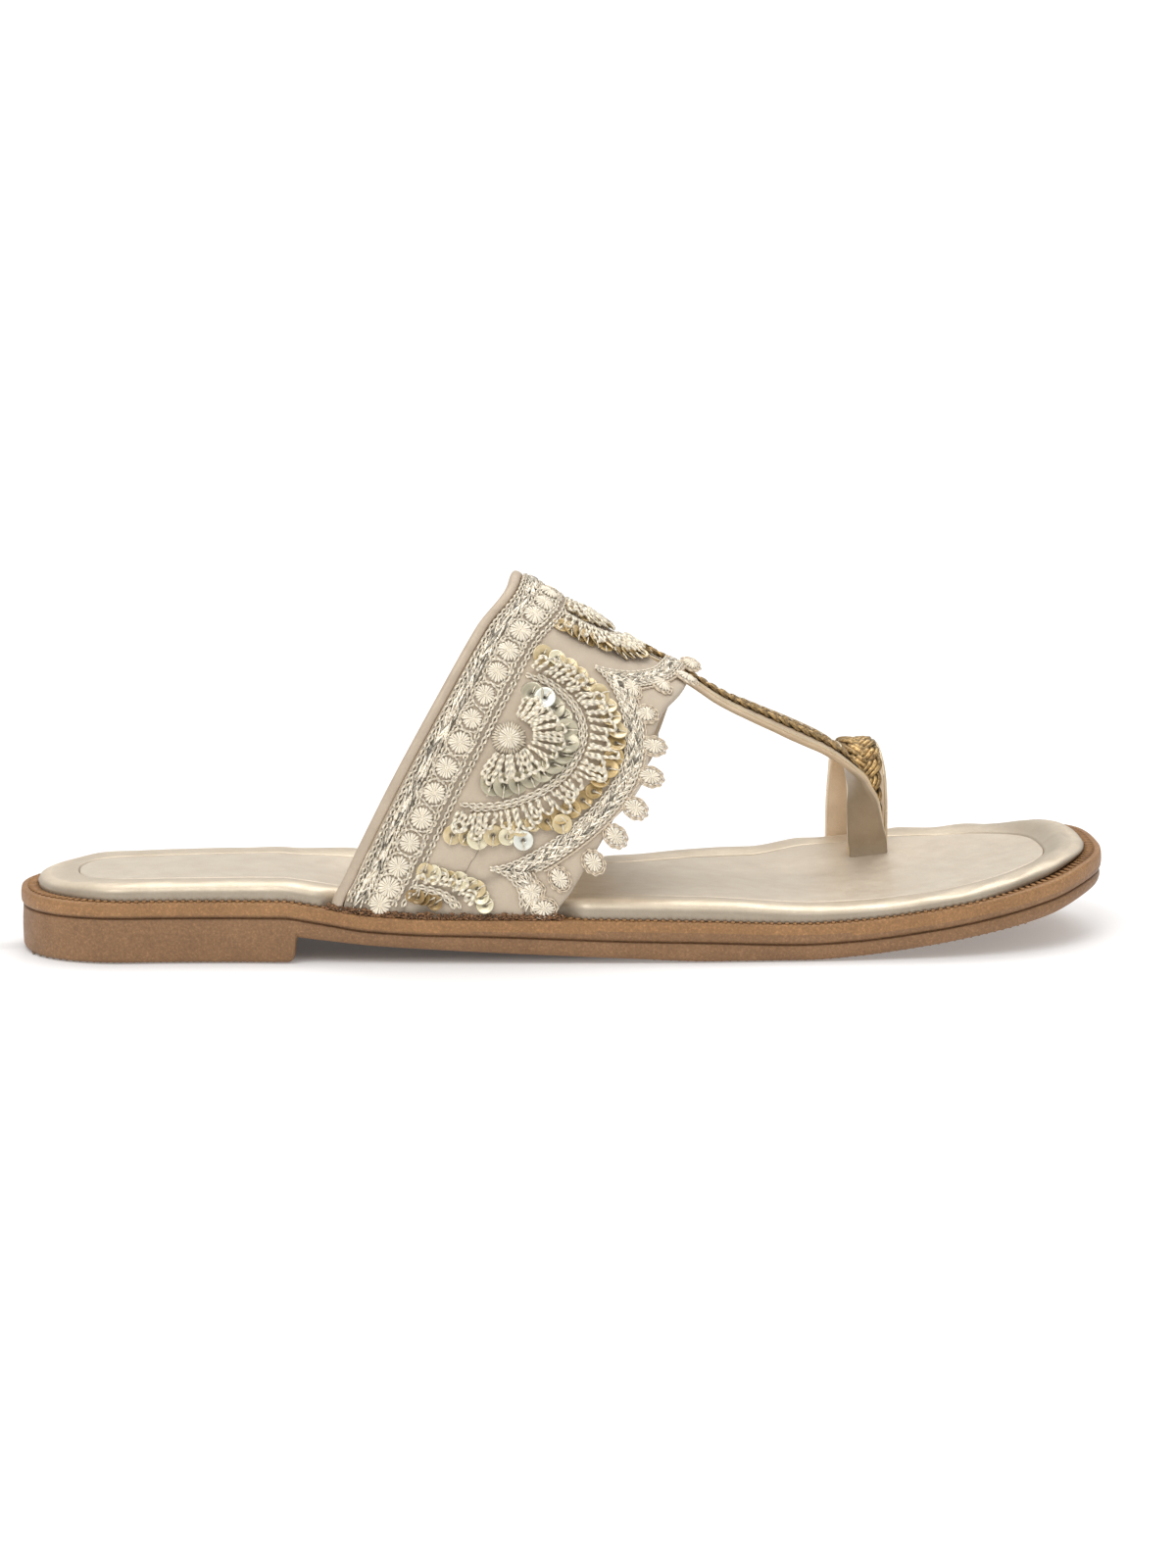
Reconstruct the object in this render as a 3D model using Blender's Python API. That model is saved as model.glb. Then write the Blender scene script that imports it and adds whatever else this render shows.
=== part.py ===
"""Kolhapuri style T-strap sandal, right shoe, European size 38.

Frame: +X points to the toe, +Y to the inner (medial) side, +Z up. The origin is the bottom centre of
the whole sandal's box, on the plane that heel and forefoot stand on. Sizes below are in millimetres,
measured from the heel's centre line and a point half way along the foot; CENTRE moves them there.
"""
import math

import bmesh
import bpy
from mathutils import Vector

MM = 0.001
CENTRE = Vector((1.0, 4.35, 0.0))
GAP = 0.3                      # clearance between pieces that touch on the real sandal

# ---- sole: driving dimensions -------------------------------------------------------------------
HEEL_BACK = -124.3             # x of the rearmost and foremost points of the sole
TOE_TIP = 126.3
HEEL_ROUND_START = -98.0       # the heel's round end begins here, the toe's below
TOE_ROUND_START = 75.0
HEEL_ROUNDNESS = 2.3           # superellipse exponents of the two round ends
TOE_ROUNDNESS = {-1: 2.2, 1: 2.75}    # outer and inner side
TOE_CENTRE_Y = 5.5             # the toe's round end is centred on this line
BREAST_X = -63.0               # front face of the heel block
BREAST_RUN = 0.7
# how much the sole rises towards its inner side: x where the rise starts, where it is full, where it
# starts to fade and where it has faded; y where it starts and where it is full; height
LIFTS = [
    (-66.0, -45.0, -32.0, 5.0, 2.0, 22.0, 2.5),
    (-5.0, 55.0, 95.0, 125.0, 6.0, 46.0, 2.0),
    (106.0, 124.0, 130.0, 131.0, -12.0, 24.0, 1.2),
]

# station x, outer half width, inner half width
PLAN = [
    (-98.0, 26.3, 26.5),
    (-80.0, 27.3, 27.0),
    (-60.0, 29.6, 26.6),
    (-35.0, 32.6, 26.2),
    (-10.0, 34.6, 27.2),
    (15.0, 36.0, 30.6),
    (40.0, 37.0, 38.4),
    (60.0, 37.3, 44.6),
    (75.0, 37.0, 46.0),
]
# station x, height of the welt's top, height of the underside
HEIGHTS = [
    (-125.0, 14.0, 6.0),
    (-66.0, 14.0, 6.0),
    (-58.0, 12.9, 5.2),
    (-46.0, 11.0, 3.9),
    (-30.0, 10.2, 2.9),
    (-5.0, 10.0, 1.6),
    (15.0, 9.6, 0.6),
    (30.0, 9.2, 0.0),
    (52.0, 8.5, 0.0),
    (65.0, 9.1, 0.8),
    (80.0, 10.8, 2.7),
    (95.0, 13.0, 5.0),
    (110.0, 15.7, 7.6),
    (126.3, 19.1, 11.4),
]
# station x, depth of the side groove below the welt's top
WELT_THICKNESS = [(-125.0, 3.6), (-30.0, 3.7), (15.0, 4.7), (126.0, 4.3)]
GROOVE_DEPTH = 1.0
GROOVE_WIDTH = 0.9
WELT_ROUND = 0.5
WELT_BULGE = 0.15              # the welt swells this much between groove and top edge
LOWER_INSET = 0.35             # the side below the groove stands back from the welt
FOOT_INSET = 0.6
BEVEL_INSET = 2.2
BEVEL_RISE = 0.7

# ---- insole -------------------------------------------------------------------------------------
EDGE_INSET = 1.5               # insole edge inside the welt's edge, along the open sides
ZONE_INSET = 4.1               # the same under the straps and at both ends
ZONE_BLEND = 6.0
VAMP_ZONE = {-1: (-59.0, 2.0), 1: (-49.0, 11.0)}    # outer and inner side
LOOP_ZONE = (64.0, 79.0)
# station x, height of the insole's rim above the welt
RIM = [(-125.0, 3.0), (-105.0, 3.9), (-60.0, 4.3), (30.0, 4.5), (55.0, 3.6), (75.0, 3.0), (108.0, 2.6),
       (126.3, 1.4)]
# the rim's profile: inset, share of the rim's height
RIM_PROFILE = [(1.1, 0.0), (0.15, 0.22), (0.0, 0.45), (0.45, 0.72), (1.5, 0.92), (3.0, 1.0), (6.0, 0.97)]
SOCK_INSET = 9.3               # seam line between rolled rim and sock panel
SOCK_DROP = 0.9                # the insole is this much lower under the sock panel
SOCK_THICKNESS = 0.6

# ---- vamp: the last's instep, as sections across the foot ----------------------------------------
WALL = 2.2
VAMP_INSET = 1.1               # the vamp's foot inside the welt's edge
RIDGE_Y = 3.0                  # the instep's ridge lies inside of the middle
# station x, height of the instep ridge
RIDGE = [(-58.0, 97.0), (-35.0, 93.0), (-10.0, 84.3), (6.0, 75.0), (15.0, 68.6), (21.0, 65.0), (30.0, 60.6),
         (46.0, 53.0)]
# share of the instep's height, x of the vamp's back edge, x of its front edge
EDGES = [
    (0.0, -49.6, 0.7),
    (0.09, -46.7, 4.4),
    (0.31, -38.4, 12.3),
    (0.64, -25.0, 20.9),
    (0.82, -18.0, 24.5),
    (1.0, -11.0, 29.9),
]
SKEW = 5.0                     # the inner foot of the vamp is further forward, the outer one further back
GIRTH_ACROSS = 34.0            # mean section, which spaces the columns evenly round the girth
GIRTH_UP = 66.0
BINDING_WIDTH = 2.4
BINDING_OUT = 0.5              # the binding stands this much proud of the outer face, and the next inside
BINDING_IN = 0.2
VAMP_COLUMNS = 44
VAMP_ROWS = 12
BORDER_ROWS = 4                # the dot border covers the first of the vamp's rows
BORDER_THICKNESS = 0.9

# ---- lace trim: scalloped band with padded lobes, in the vamp's own v and u -----------------------
CUSP_U = 0.595                 # how far back the band's cusps reach
ARCH_ROUNDNESS = 1.8
BAND_U = 0.072                 # the band's width
# arches from the outer foot to the ridge: v of both cusps, u of the apex (the inner half mirrors them)
ARCHES = [
    (-1.32, -0.88, 0.90),
    (-0.88, -0.27, 0.93),
    (-0.27, 0.27, 0.86),
]
# lobes from the outer foot to the ridge: v and u of the centre (mirrored as well)
LOBES = [
    (-0.975, 0.935),
    (-0.93, 0.825),
    (-0.895, 0.915),
    (-0.84, 1.015),
    (-0.755, 1.04),
    (-0.655, 1.06),
    (-0.54, 1.06),
    (-0.435, 1.015),
    (-0.335, 0.925),
    (-0.27, 0.805),
    (-0.19, 0.895),
    (-0.10, 0.99),
    (0.0, 1.06),
]
LOBE_V = 0.036                 # a lobe's half size round the girth, and along the vamp
LOBE_U = 0.066
TRIM_COLUMNS = 158
TRIM_FOOT = 0.985              # the trim ends just above the welt
TRIM_THICKNESS = 1.2
TRIM_RISE = 1.2                # it rides this much higher over the braid at the ridge
TRIM_RISE_V = 0.13

# ---- T-strap and toe loop -------------------------------------------------------------------------
STRAP_THICKNESS = 2.0
LOOP_THICKNESS = 2.2
STRAP_WIDTH = 9.0
POST_WIDTH = 9.4
BRAID_THICKNESS = 1.0
STRAP_BRAID_WIDTH = 5.0
LOOP_BRAID_WIDTH = 6.8
SLOT_X = 74.5                  # the slot between big toe and second toe
POST_Y = 22.2                  # T-strap's post, and the loop's outer leg fused behind it
LEG_Y = 24.2
LOOP_FOOT_X = 72.0
SLOT_LENGTH = POST_WIDTH + 2 * GAP + 0.2
SLOT_FROM_Y = POST_Y - STRAP_THICKNESS / 2 - GAP
SLOT_TO_Y = LEG_Y + LOOP_THICKNESS / 2 + GAP
SLOT_BEVEL = 0.25
CUTTER_HEIGHT = 40.0           # the cutter stands from the ground to well above the insole
STRAP_BRAID_SPAN = (4, 20)     # first and last point of each braid on the finely divided path
LOOP_BRAID_SPAN = (5, -3)


# ---- small helpers --------------------------------------------------------------------------------
def smooth(t):
    t = min(max(t, 0.0), 1.0)
    return t * t * (3.0 - 2.0 * t)


def read(table, x, column=1):
    """Value of one column at x: a monotone cubic through the table's rows."""
    if x <= table[0][0]:
        return table[0][column]
    if x >= table[-1][0]:
        return table[-1][column]
    last = len(table) - 1
    i = max(k for k in range(last) if table[k][0] <= x)
    step = table[i + 1][0] - table[i][0]
    t = (x - table[i][0]) / step
    m0 = slope(table, i, column)
    m1 = slope(table, i + 1, column)
    a = table[i][column]
    b = table[i + 1][column]
    return (a * (1 + 2 * t) * (1 - t) ** 2 + b * t * t * (3 - 2 * t)
            + m0 * step * t * (1 - t) ** 2 - m1 * step * t * t * (1 - t))


def slope(rows, i, column):
    """Tangent at row i, flat where the column turns, so that the curve never overshoots."""
    if i == 0 or i == len(rows) - 1:
        return 0.0
    before = (rows[i][column] - rows[i - 1][column]) / (rows[i][0] - rows[i - 1][0])
    after = (rows[i + 1][column] - rows[i][column]) / (rows[i + 1][0] - rows[i][0])
    if before * after <= 0:
        return 0.0
    return 2 * before * after / (before + after)


def material(name, colour, roughness, metallic=0.0):
    mat = bpy.data.materials.new(name)
    mat.use_nodes = True
    shader = mat.node_tree.nodes["Principled BSDF"]
    shader.inputs["Base Color"].default_value = (*colour, 1.0)
    shader.inputs["Roughness"].default_value = roughness
    shader.inputs["Metallic"].default_value = metallic
    return mat


def solid(name, verts, faces, mat, sharp_deg=40.0):
    """One object from points in millimetres, with its faces turned outward."""
    mesh = bpy.data.meshes.new(name)
    mesh.from_pydata([(Vector(v) - CENTRE) * MM for v in verts], [], faces)
    bm = bmesh.new()
    bm.from_mesh(mesh)
    bmesh.ops.recalc_face_normals(bm, faces=bm.faces)
    bm.to_mesh(mesh)
    bm.free()
    mesh.materials.append(mat)
    mesh.shade_smooth()
    mesh.set_sharp_from_angle(angle=math.radians(sharp_deg))
    obj = bpy.data.objects.new(name, mesh)
    bpy.context.scene.collection.objects.link(obj)
    return obj


def combine(target, other, operation):
    """Cut or join with a hidden tool object."""
    other.hide_render = True
    other.display_type = "WIRE"
    mod = target.modifiers.new(operation.lower(), "BOOLEAN")
    mod.operation = operation
    mod.object = other
    return mod


# ---- the sole's form -------------------------------------------------------------------------------
def half_width(x, side):
    """Distance of the sole's edge from y = 0; side is -1 for the outer and 1 for the inner edge."""
    column = 1 if side < 0 else 2
    if x < HEEL_ROUND_START:
        t = (HEEL_ROUND_START - x) / (HEEL_ROUND_START - HEEL_BACK)
        full = PLAN[0][column]
        return full * max(0.0, 1 - t ** HEEL_ROUNDNESS) ** (1 / HEEL_ROUNDNESS)
    if x > TOE_ROUND_START:
        t = (x - TOE_ROUND_START) / (TOE_TIP - TOE_ROUND_START)
        full = PLAN[-1][column] - side * TOE_CENTRE_Y
        roundness = TOE_ROUNDNESS[side]
        return full * max(0.0, 1 - t ** roundness) ** (1 / roundness) + side * TOE_CENTRE_Y
    return read(PLAN, x, column)


def medial_lift(x, y):
    """Arch support, then the raised inner side of the ball, then the toe's inner corner."""
    return sum(height * smooth((x - start) / (full - start)) * smooth((end - x) / (end - fade))
               * smooth((y - low) / (high - low))
               for start, full, fade, end, low, high, height in LIFTS)


def welt_top(x, y):
    return read(HEIGHTS, x, 1) + medial_lift(x, y)


def underside(x, y):
    """The sole's lower face: ground level under the heel block, then the shank, ball and toe spring."""
    return 0.0 if x < BREAST_X else read(HEIGHTS, x, 2) + medial_lift(x, y)


def stations():
    """x of the columns: close together at both round ends, with a pair at the heel's breast."""
    heel = [HEEL_ROUND_START - (HEEL_ROUND_START - HEEL_BACK) * math.sin(math.radians(a))
            for a in (90, 78, 66, 54, 42, 30, 15)]
    middle = [-98, -86, -74, BREAST_X - BREAST_RUN, BREAST_X + BREAST_RUN, -54, -46, -38, -28, -16,
              -6, 1, 6, 12, 20, 30, 41, 52, 58, 63, 69]
    toe = [TOE_ROUND_START + (TOE_TIP - TOE_ROUND_START) * math.sin(math.radians(a))
           for a in (0, 12, 24, 36, 47, 57, 66, 75, 83, 90)]
    return heel + middle + toe


def outline():
    """Closed loop of the sole's edge seen from above: outer side heel to toe, then back along the inner."""
    xs = stations()
    outer = [(x, -half_width(x, -1)) for x in xs]
    inner = [(x, half_width(x, 1)) for x in xs]
    return outer + inner[-2:0:-1]


def inset_loop(loop, insets):
    """Moves each point of a closed loop inward along its own normal."""
    moved = []
    count = len(loop)
    for i in range(count):
        x0, y0 = loop[i - 1]
        x1, y1 = loop[(i + 1) % count]
        tx = x1 - x0
        ty = y1 - y0
        size = math.hypot(tx, ty)
        moved.append((loop[i][0] - ty / size * insets[i], loop[i][1] + tx / size * insets[i]))
    return moved


def close_face(verts, faces, ring, height, columns):
    """Fills a ring made from outline() with strips across the foot, so that the face can curve."""
    half = len(ring) // 2
    lines = []
    for a in range(1, half):
        b = len(ring) - a
        line = [ring[a]]
        va = verts[ring[a]]
        vb = verts[ring[b]]
        for c in range(1, columns):
            t = c / columns
            x = va[0] + (vb[0] - va[0]) * t
            y = va[1] + (vb[1] - va[1]) * t
            line.append(len(verts))
            verts.append((x, y, height(x, y)))
        line.append(ring[b])
        lines.append(line)
    for p, q in zip(lines, lines[1:]):
        for c in range(columns):
            faces.append([p[c], q[c], q[c + 1], p[c + 1]])
    for end, line in ((ring[0], lines[0]), (ring[half], lines[-1])):
        for c in range(columns):
            faces.append([end, line[c], line[c + 1]])


def ring_solid(name, rings, top, bottom, columns, mat):
    """Solid from a stack of rings (lists of points), closed above and below by curved faces."""
    verts = []
    index = []
    for ring in rings:
        index.append(list(range(len(verts), len(verts) + len(ring))))
        verts.extend(ring)
    faces = []
    count = len(rings[0])
    for low, high in zip(index, index[1:]):
        for i in range(count):
            j = (i + 1) % count
            faces.append([low[i], low[j], high[j], high[i]])
    close_face(verts, faces, index[0], bottom, columns)
    close_face(verts, faces, index[-1], top, columns)
    return solid(name, verts, faces, mat)


def raised(loop, height):
    return [(x, y, height(x, y)) for x, y in loop]


def make_outsole(mat):
    edge = outline()
    count = len(edge)

    def ring(inset, height):
        return [(x, y, height(*edge[i]))
                for i, (x, y) in enumerate(inset_loop(edge, [inset] * count))]

    def split(x, y, offset):
        return welt_top(x, y) - read(WELT_THICKNESS, x) + offset

    rings = [
        ring(BEVEL_INSET, underside),
        ring(FOOT_INSET, lambda x, y: underside(x, y) + BEVEL_RISE),
        ring(LOWER_INSET, lambda x, y: split(x, y, -GROOVE_WIDTH / 2)),
        ring(GROOVE_DEPTH, lambda x, y: split(x, y, -GROOVE_WIDTH / 4)),
        ring(GROOVE_DEPTH, lambda x, y: split(x, y, GROOVE_WIDTH / 4)),
        ring(WELT_BULGE, lambda x, y: split(x, y, GROOVE_WIDTH / 2)),
        ring(0.0, lambda x, y: welt_top(x, y) - read(WELT_THICKNESS, x) * 0.45),
        ring(WELT_BULGE, lambda x, y: welt_top(x, y) - WELT_ROUND),
        ring(WELT_ROUND, welt_top),
    ]
    return ring_solid("outsole", rings, welt_top, underside, 4, mat)


# ---- insole and sock -------------------------------------------------------------------------------
def zone(x, start, end):
    return smooth((x - start + ZONE_BLEND) / ZONE_BLEND) * smooth((end + ZONE_BLEND - x) / ZONE_BLEND)


def insole_inset(x, y):
    ends = smooth((-100.0 - x) / 20.0) + smooth((x - 88.0) / 25.0)
    under = zone(x, *VAMP_ZONE[-1 if y < 0 else 1])
    if y > 0:
        under = max(under, zone(x, *LOOP_ZONE))
    return EDGE_INSET + (ZONE_INSET - EDGE_INSET) * min(1.0, ends + under)


def insole_top(x, y):
    return welt_top(x, y) + read(RIM, x)


def insole_loop(extra):
    edge = outline()
    return edge, inset_loop(edge, [insole_inset(x, y) + extra for x, y in edge])


def make_insole(mat):
    rings = []
    for inset, share in RIM_PROFILE:
        edge, loop = insole_loop(inset)
        rings.append([(x, y, welt_top(*edge[i]) + GAP + (read(RIM, edge[i][0]) - GAP) * share)
                      for i, (x, y) in enumerate(loop)])
    for inset, drop in ((SOCK_INSET - 0.9, 0.25), (SOCK_INSET - 0.2, SOCK_DROP)):
        edge, loop = insole_loop(inset)
        rings.append(raised(loop, lambda x, y, d=drop: insole_top(x, y) - d))
    body = ring_solid("insole", rings, lambda x, y: insole_top(x, y) - SOCK_DROP,
                      lambda x, y: welt_top(x, y) + GAP, 4, mat)
    combine(body, slot_cutter("insole_slot"), "DIFFERENCE")
    return body


def make_sock(mat):
    low = SOCK_DROP - GAP
    high = low - SOCK_THICKNESS
    rings = []
    for inset, drop in ((0.3, low), (0.0, (low + high) / 2), (0.35, high)):
        edge, loop = insole_loop(SOCK_INSET + GAP + inset)
        rings.append(raised(loop, lambda x, y, d=drop: insole_top(x, y) - d))
    body = ring_solid("sock_panel", rings, lambda x, y: insole_top(x, y) - high,
                      lambda x, y: insole_top(x, y) - low, 4, mat)
    combine(body, slot_cutter("sock_slot"), "DIFFERENCE")
    return body


def slot_cutter(name):
    """A block through insole and sock where T-strap and toe loop go down."""
    mesh = bpy.data.meshes.new(name)
    bm = bmesh.new()
    bmesh.ops.create_cube(bm, size=1.0)
    size = Vector((SLOT_LENGTH, SLOT_TO_Y - SLOT_FROM_Y, CUTTER_HEIGHT))
    bmesh.ops.scale(bm, vec=size * MM, verts=bm.verts)
    upright = [e for e in bm.edges if abs(e.verts[0].co.z - e.verts[1].co.z) > CUTTER_HEIGHT / 2 * MM]
    bmesh.ops.bevel(bm, geom=upright, offset=SLOT_BEVEL * MM, segments=1, affect="EDGES")
    bm.to_mesh(mesh)
    bm.free()
    obj = bpy.data.objects.new(name, mesh)
    obj.location = (Vector((SLOT_X, (SLOT_FROM_Y + SLOT_TO_Y) / 2, CUTTER_HEIGHT / 2)) - CENTRE) * MM
    bpy.context.scene.collection.objects.link(obj)
    return obj


# ---- the vamp's form -------------------------------------------------------------------------------
def girth_angles(samples=400):
    """Section angle for evenly spaced steps round the mean girth."""
    lengths = [0.0]
    for i in range(samples):
        a = math.pi / 2 * i / samples
        b = math.pi / 2 * (i + 1) / samples
        lengths.append(lengths[-1] + math.hypot(GIRTH_ACROSS * (math.cos(b) - math.cos(a)),
                                                GIRTH_UP * (math.sin(b) - math.sin(a))))
    return [value / lengths[-1] for value in lengths]


GIRTH_TABLE = girth_angles()


def section_angle(v):
    """Angle on the section for v: -1 at the outer foot, 0 at the ridge, 1 at the inner foot."""
    share = 1.0 - abs(v)
    steps = len(GIRTH_TABLE) - 1
    if share >= 1.0:
        return math.pi / 2
    i = max(k for k in range(steps) if GIRTH_TABLE[k] <= max(share, 0.0))
    t = (share - GIRTH_TABLE[i]) / (GIRTH_TABLE[i + 1] - GIRTH_TABLE[i])
    angle = math.pi / 2 * (i + t) / steps
    return angle if v < 0 else math.pi - angle


def vamp_point(v, u):
    """Outer face of the vamp: v round the girth, u from the back edge (0) to the front edge (1)."""
    angle = section_angle(v)
    up = math.sin(angle)
    back = read(EDGES, up, 1)
    front = read(EDGES, up, 2)
    x = back + (front - back) * u - SKEW * math.cos(angle)
    side = -1 if v < 0 else 1
    foot_y = side * (half_width(x, side) - VAMP_INSET)
    foot_z = welt_top(x, foot_y) + GAP
    y = RIDGE_Y + (foot_y - RIDGE_Y) * abs(math.cos(angle))
    z = foot_z + (read(RIDGE, x) - foot_z) * up
    return Vector((x, y, z))


def vamp_normal(v, u):
    step = 0.004
    across = vamp_point(min(v + step, 1.0), u) - vamp_point(max(v - step, -1.0), u)
    along = vamp_point(v, u + step) - vamp_point(v, u - step)
    return along.cross(across).normalized()


def vamp_offset(v, u, out):
    """A point off the vamp's outer face; the two feet stay level so that they stand on the welt."""
    point = vamp_point(v, u)
    normal = vamp_normal(v, u)
    if abs(v) > 0.999:
        normal = Vector((0.0, math.copysign(1.0, v), 0.0))
    return point + normal * out


def vamp_length(v):
    return (vamp_point(v, 1.0) - vamp_point(v, 0.0)).length


def sheet_solid(name, columns, rows, inner, outer, mat, lift=lambda v: 0.0):
    """Closed plate on the vamp: rows(v) gives the u values, inner and outer its two faces' offsets."""
    verts = []
    faces = []
    first = rows(columns[0])
    per = len(first)
    for v in columns:
        for u in rows(v):
            verts.append(vamp_offset(v, u, inner + lift(v)))
        for u in rows(v):
            verts.append(vamp_offset(v, u, outer + lift(v)))
    for c in range(len(columns) - 1):
        a = c * 2 * per
        b = a + 2 * per
        for r in range(per - 1):
            faces.append([a + r, a + r + 1, b + r + 1, b + r])
            faces.append([a + per + r, b + per + r, b + per + r + 1, a + per + r + 1])
        faces.append([a, b, b + per, a + per])
        faces.append([a + per - 1, a + 2 * per - 1, b + 2 * per - 1, b + per - 1])
    for a in (0, (len(columns) - 1) * 2 * per):
        for r in range(per - 1):
            faces.append([a + r, a + per + r, a + per + r + 1, a + r + 1])
    return solid(name, verts, faces, mat)


def girth_columns(count, start=-1.0, end=1.0):
    return [start + (end - start) * i / count for i in range(count + 1)]


def vamp_rows(v):
    start = (BINDING_WIDTH + GAP) / vamp_length(v)
    return [start + (1 - start) * r / (VAMP_ROWS - 1) for r in range(VAMP_ROWS)]


def make_vamp(mat):
    return sheet_solid("upper", girth_columns(VAMP_COLUMNS), vamp_rows, -WALL, 0.0, mat)


def make_binding(mat):
    def rows(v):
        length = vamp_length(v)
        return [0.0, BINDING_WIDTH / 2 / length, BINDING_WIDTH / length]
    return sheet_solid("vamp_binding", girth_columns(VAMP_COLUMNS), rows,
                       -WALL - BINDING_IN, BINDING_OUT, mat)


def make_border(mat):
    return sheet_solid("dot_border", girth_columns(VAMP_COLUMNS), lambda v: vamp_rows(v)[:BORDER_ROWS],
                       GAP, GAP + BORDER_THICKNESS, mat)


def arch_u(v):
    """Inner edge of the scalloped band: arches between cusps."""
    v = -abs(v)
    first, second, apex = next(row for row in ARCHES if row[0] <= v <= row[1])
    t = abs(2 * (v - first) / (second - first) - 1)
    return CUSP_U + (apex - CUSP_U) * (1 - t ** ARCH_ROUNDNESS) ** (1 / ARCH_ROUNDNESS)


def trim_edge(v):
    """Outer edge of the trim: the band's own edge, or the lobe that stands furthest out."""
    edge = arch_u(v) + BAND_U
    for lobe_v, lobe_u in LOBES:
        t = (-abs(v) - lobe_v) / LOBE_V
        if abs(t) < 1:
            edge = max(edge, lobe_u + LOBE_U * math.sqrt(1 - t * t))
    return edge


def make_trim(mat):
    def rows(v):
        inner = arch_u(v)
        outer = trim_edge(v)
        return [inner, (inner + outer) / 2, outer]

    def lift(v):
        return TRIM_RISE * smooth((TRIM_RISE_V - abs(v)) / TRIM_RISE_V * 2)

    columns = girth_columns(TRIM_COLUMNS, -TRIM_FOOT, TRIM_FOOT)
    return sheet_solid("lace_trim", columns, rows, GAP, GAP + TRIM_THICKNESS, mat, lift)


# ---- T-strap, toe loop and their braids -------------------------------------------------------------
def slot_floor():
    """Lower end of the post: clear of the welt's top, which rises towards the toe."""
    return welt_top(SLOT_X + POST_WIDTH / 2, LEG_Y) + 2 * GAP


def strap_path():
    """T-strap's centre line with the direction from its inner to its outer edge.

    It starts on the vamp's ridge, falls to the post between the toes and turns a quarter round there:
    its outer edge becomes the post's front edge.
    """
    rows = [(vamp_offset(0.0, u, -STRAP_THICKNESS / 2 - 0.1), (0.0, -1.0, 0.0)) for u in (0.72, 0.94)]
    rows += [(Vector(p), w) for p, w in [
        ((37.5, 5.4, 54.2), (0.0, -1.0, -0.03)),
        ((45.5, 7.8, 50.3), (0.0, -1.0, -0.14)),
        ((55.0, 11.4, 45.7), (0.04, -1.0, -0.28)),
        ((63.0, 14.8, 41.6), (0.15, -1.0, -0.36)),
        ((68.6, 17.0, 37.0), (0.35, -1.0, -0.50)),
        ((71.2, 17.9, 31.5), (0.55, -0.75, -0.35)),
        ((72.4, 18.7, 26.0), (0.85, -0.45, -0.15)),
        ((73.3, 20.2, 21.0), (0.95, -0.22, 0.0)),
        ((SLOT_X, POST_Y, 16.5), (1.0, 0.0, 0.0)),
        ((SLOT_X, POST_Y, slot_floor()), (1.0, 0.0, 0.0)),
    ]]
    return rows


def loop_path():
    """Toe loop's centre line: up the slot, over the big toe and down over the insole's inner edge."""
    foot_y = half_width(LOOP_FOOT_X, 1) - VAMP_INSET - LOOP_THICKNESS / 2
    foot_z = welt_top(LOOP_FOOT_X + POST_WIDTH / 2, foot_y) + 2 * GAP
    return [(Vector((x, y, z)), (1.0, turn, 0.0)) for x, y, z, turn in [
        (SLOT_X, LEG_Y, slot_floor(), 0.0),
        (SLOT_X, LEG_Y, 19.0, 0.0),
        (SLOT_X, LEG_Y + 0.2, 27.0, 0.0),
        (74.2, 25.4, 32.8, 0.0),
        (73.6, 28.9, 37.0, 0.03),
        (73.0, 34.0, 38.4, 0.05),
        (72.5, 39.6, 36.2, 0.03),
        (72.5, 43.0, 30.5, 0.0),
        (72.1, foot_y, 23.0, 0.0),
        (LOOP_FOOT_X, foot_y, foot_z, 0.0),
    ]]


def spline(rows, per_span=3):
    """Catmull-Rom curve through the rows' points, with their edge directions blended along it."""
    points = [Vector(p) for p, w in rows]
    edges = [Vector(w) for p, w in rows]
    out = []
    for i in range(len(points) - 1):
        p0 = points[max(i - 1, 0)]
        p1 = points[i]
        p2 = points[i + 1]
        p3 = points[min(i + 2, len(points) - 1)]
        for k in range(per_span):
            t = k / per_span
            out.append((0.5 * (2 * p1 + (p2 - p0) * t + (2 * p0 - 5 * p1 + 4 * p2 - p3) * t * t
                               + (3 * p1 - p0 - 3 * p2 + p3) * t ** 3),
                        edges[i].lerp(edges[i + 1], smooth(t))))
    out.append((points[-1], edges[-1]))
    return out


def ribbon(name, rows, width, thickness, lift, mat, span=(0, None)):
    """A flat band swept along a path: its edge direction from the rows, its face square to both."""
    ends = spline(rows)[span[0]:span[1]]
    verts = []
    for i, (point, edge) in enumerate(ends):
        ahead = ends[min(i + 1, len(ends) - 1)][0] - ends[max(i - 1, 0)][0]
        along = ahead.normalized()
        across = (edge - along * edge.dot(along)).normalized()
        normal = across.cross(along)
        for side, face in ((-1, -1), (1, -1), (1, 1), (-1, 1)):
            verts.append(point + across * (side * width / 2) + normal * (lift + face * thickness / 2))
    faces = [[0, 1, 2, 3]]
    for i in range(len(ends) - 1):
        a = 4 * i
        for k in range(4):
            n = (k + 1) % 4
            faces.append([a + k, a + n, a + 4 + n, a + 4 + k])
    a = 4 * (len(ends) - 1)
    faces.append([a + 3, a + 2, a + 1, a])
    return solid(name, verts, faces, mat)


def make_upper(mat):
    """Vamp, T-strap and toe loop in one wall, joined where they cross."""
    vamp = make_vamp(mat)
    strap = ribbon("strap_tool", strap_path(), STRAP_WIDTH, STRAP_THICKNESS, 0.0, mat)
    loop = ribbon("loop_tool", loop_path(), POST_WIDTH, LOOP_THICKNESS, 0.0, mat)
    combine(vamp, strap, "UNION")
    combine(vamp, loop, "UNION")
    return vamp


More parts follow.
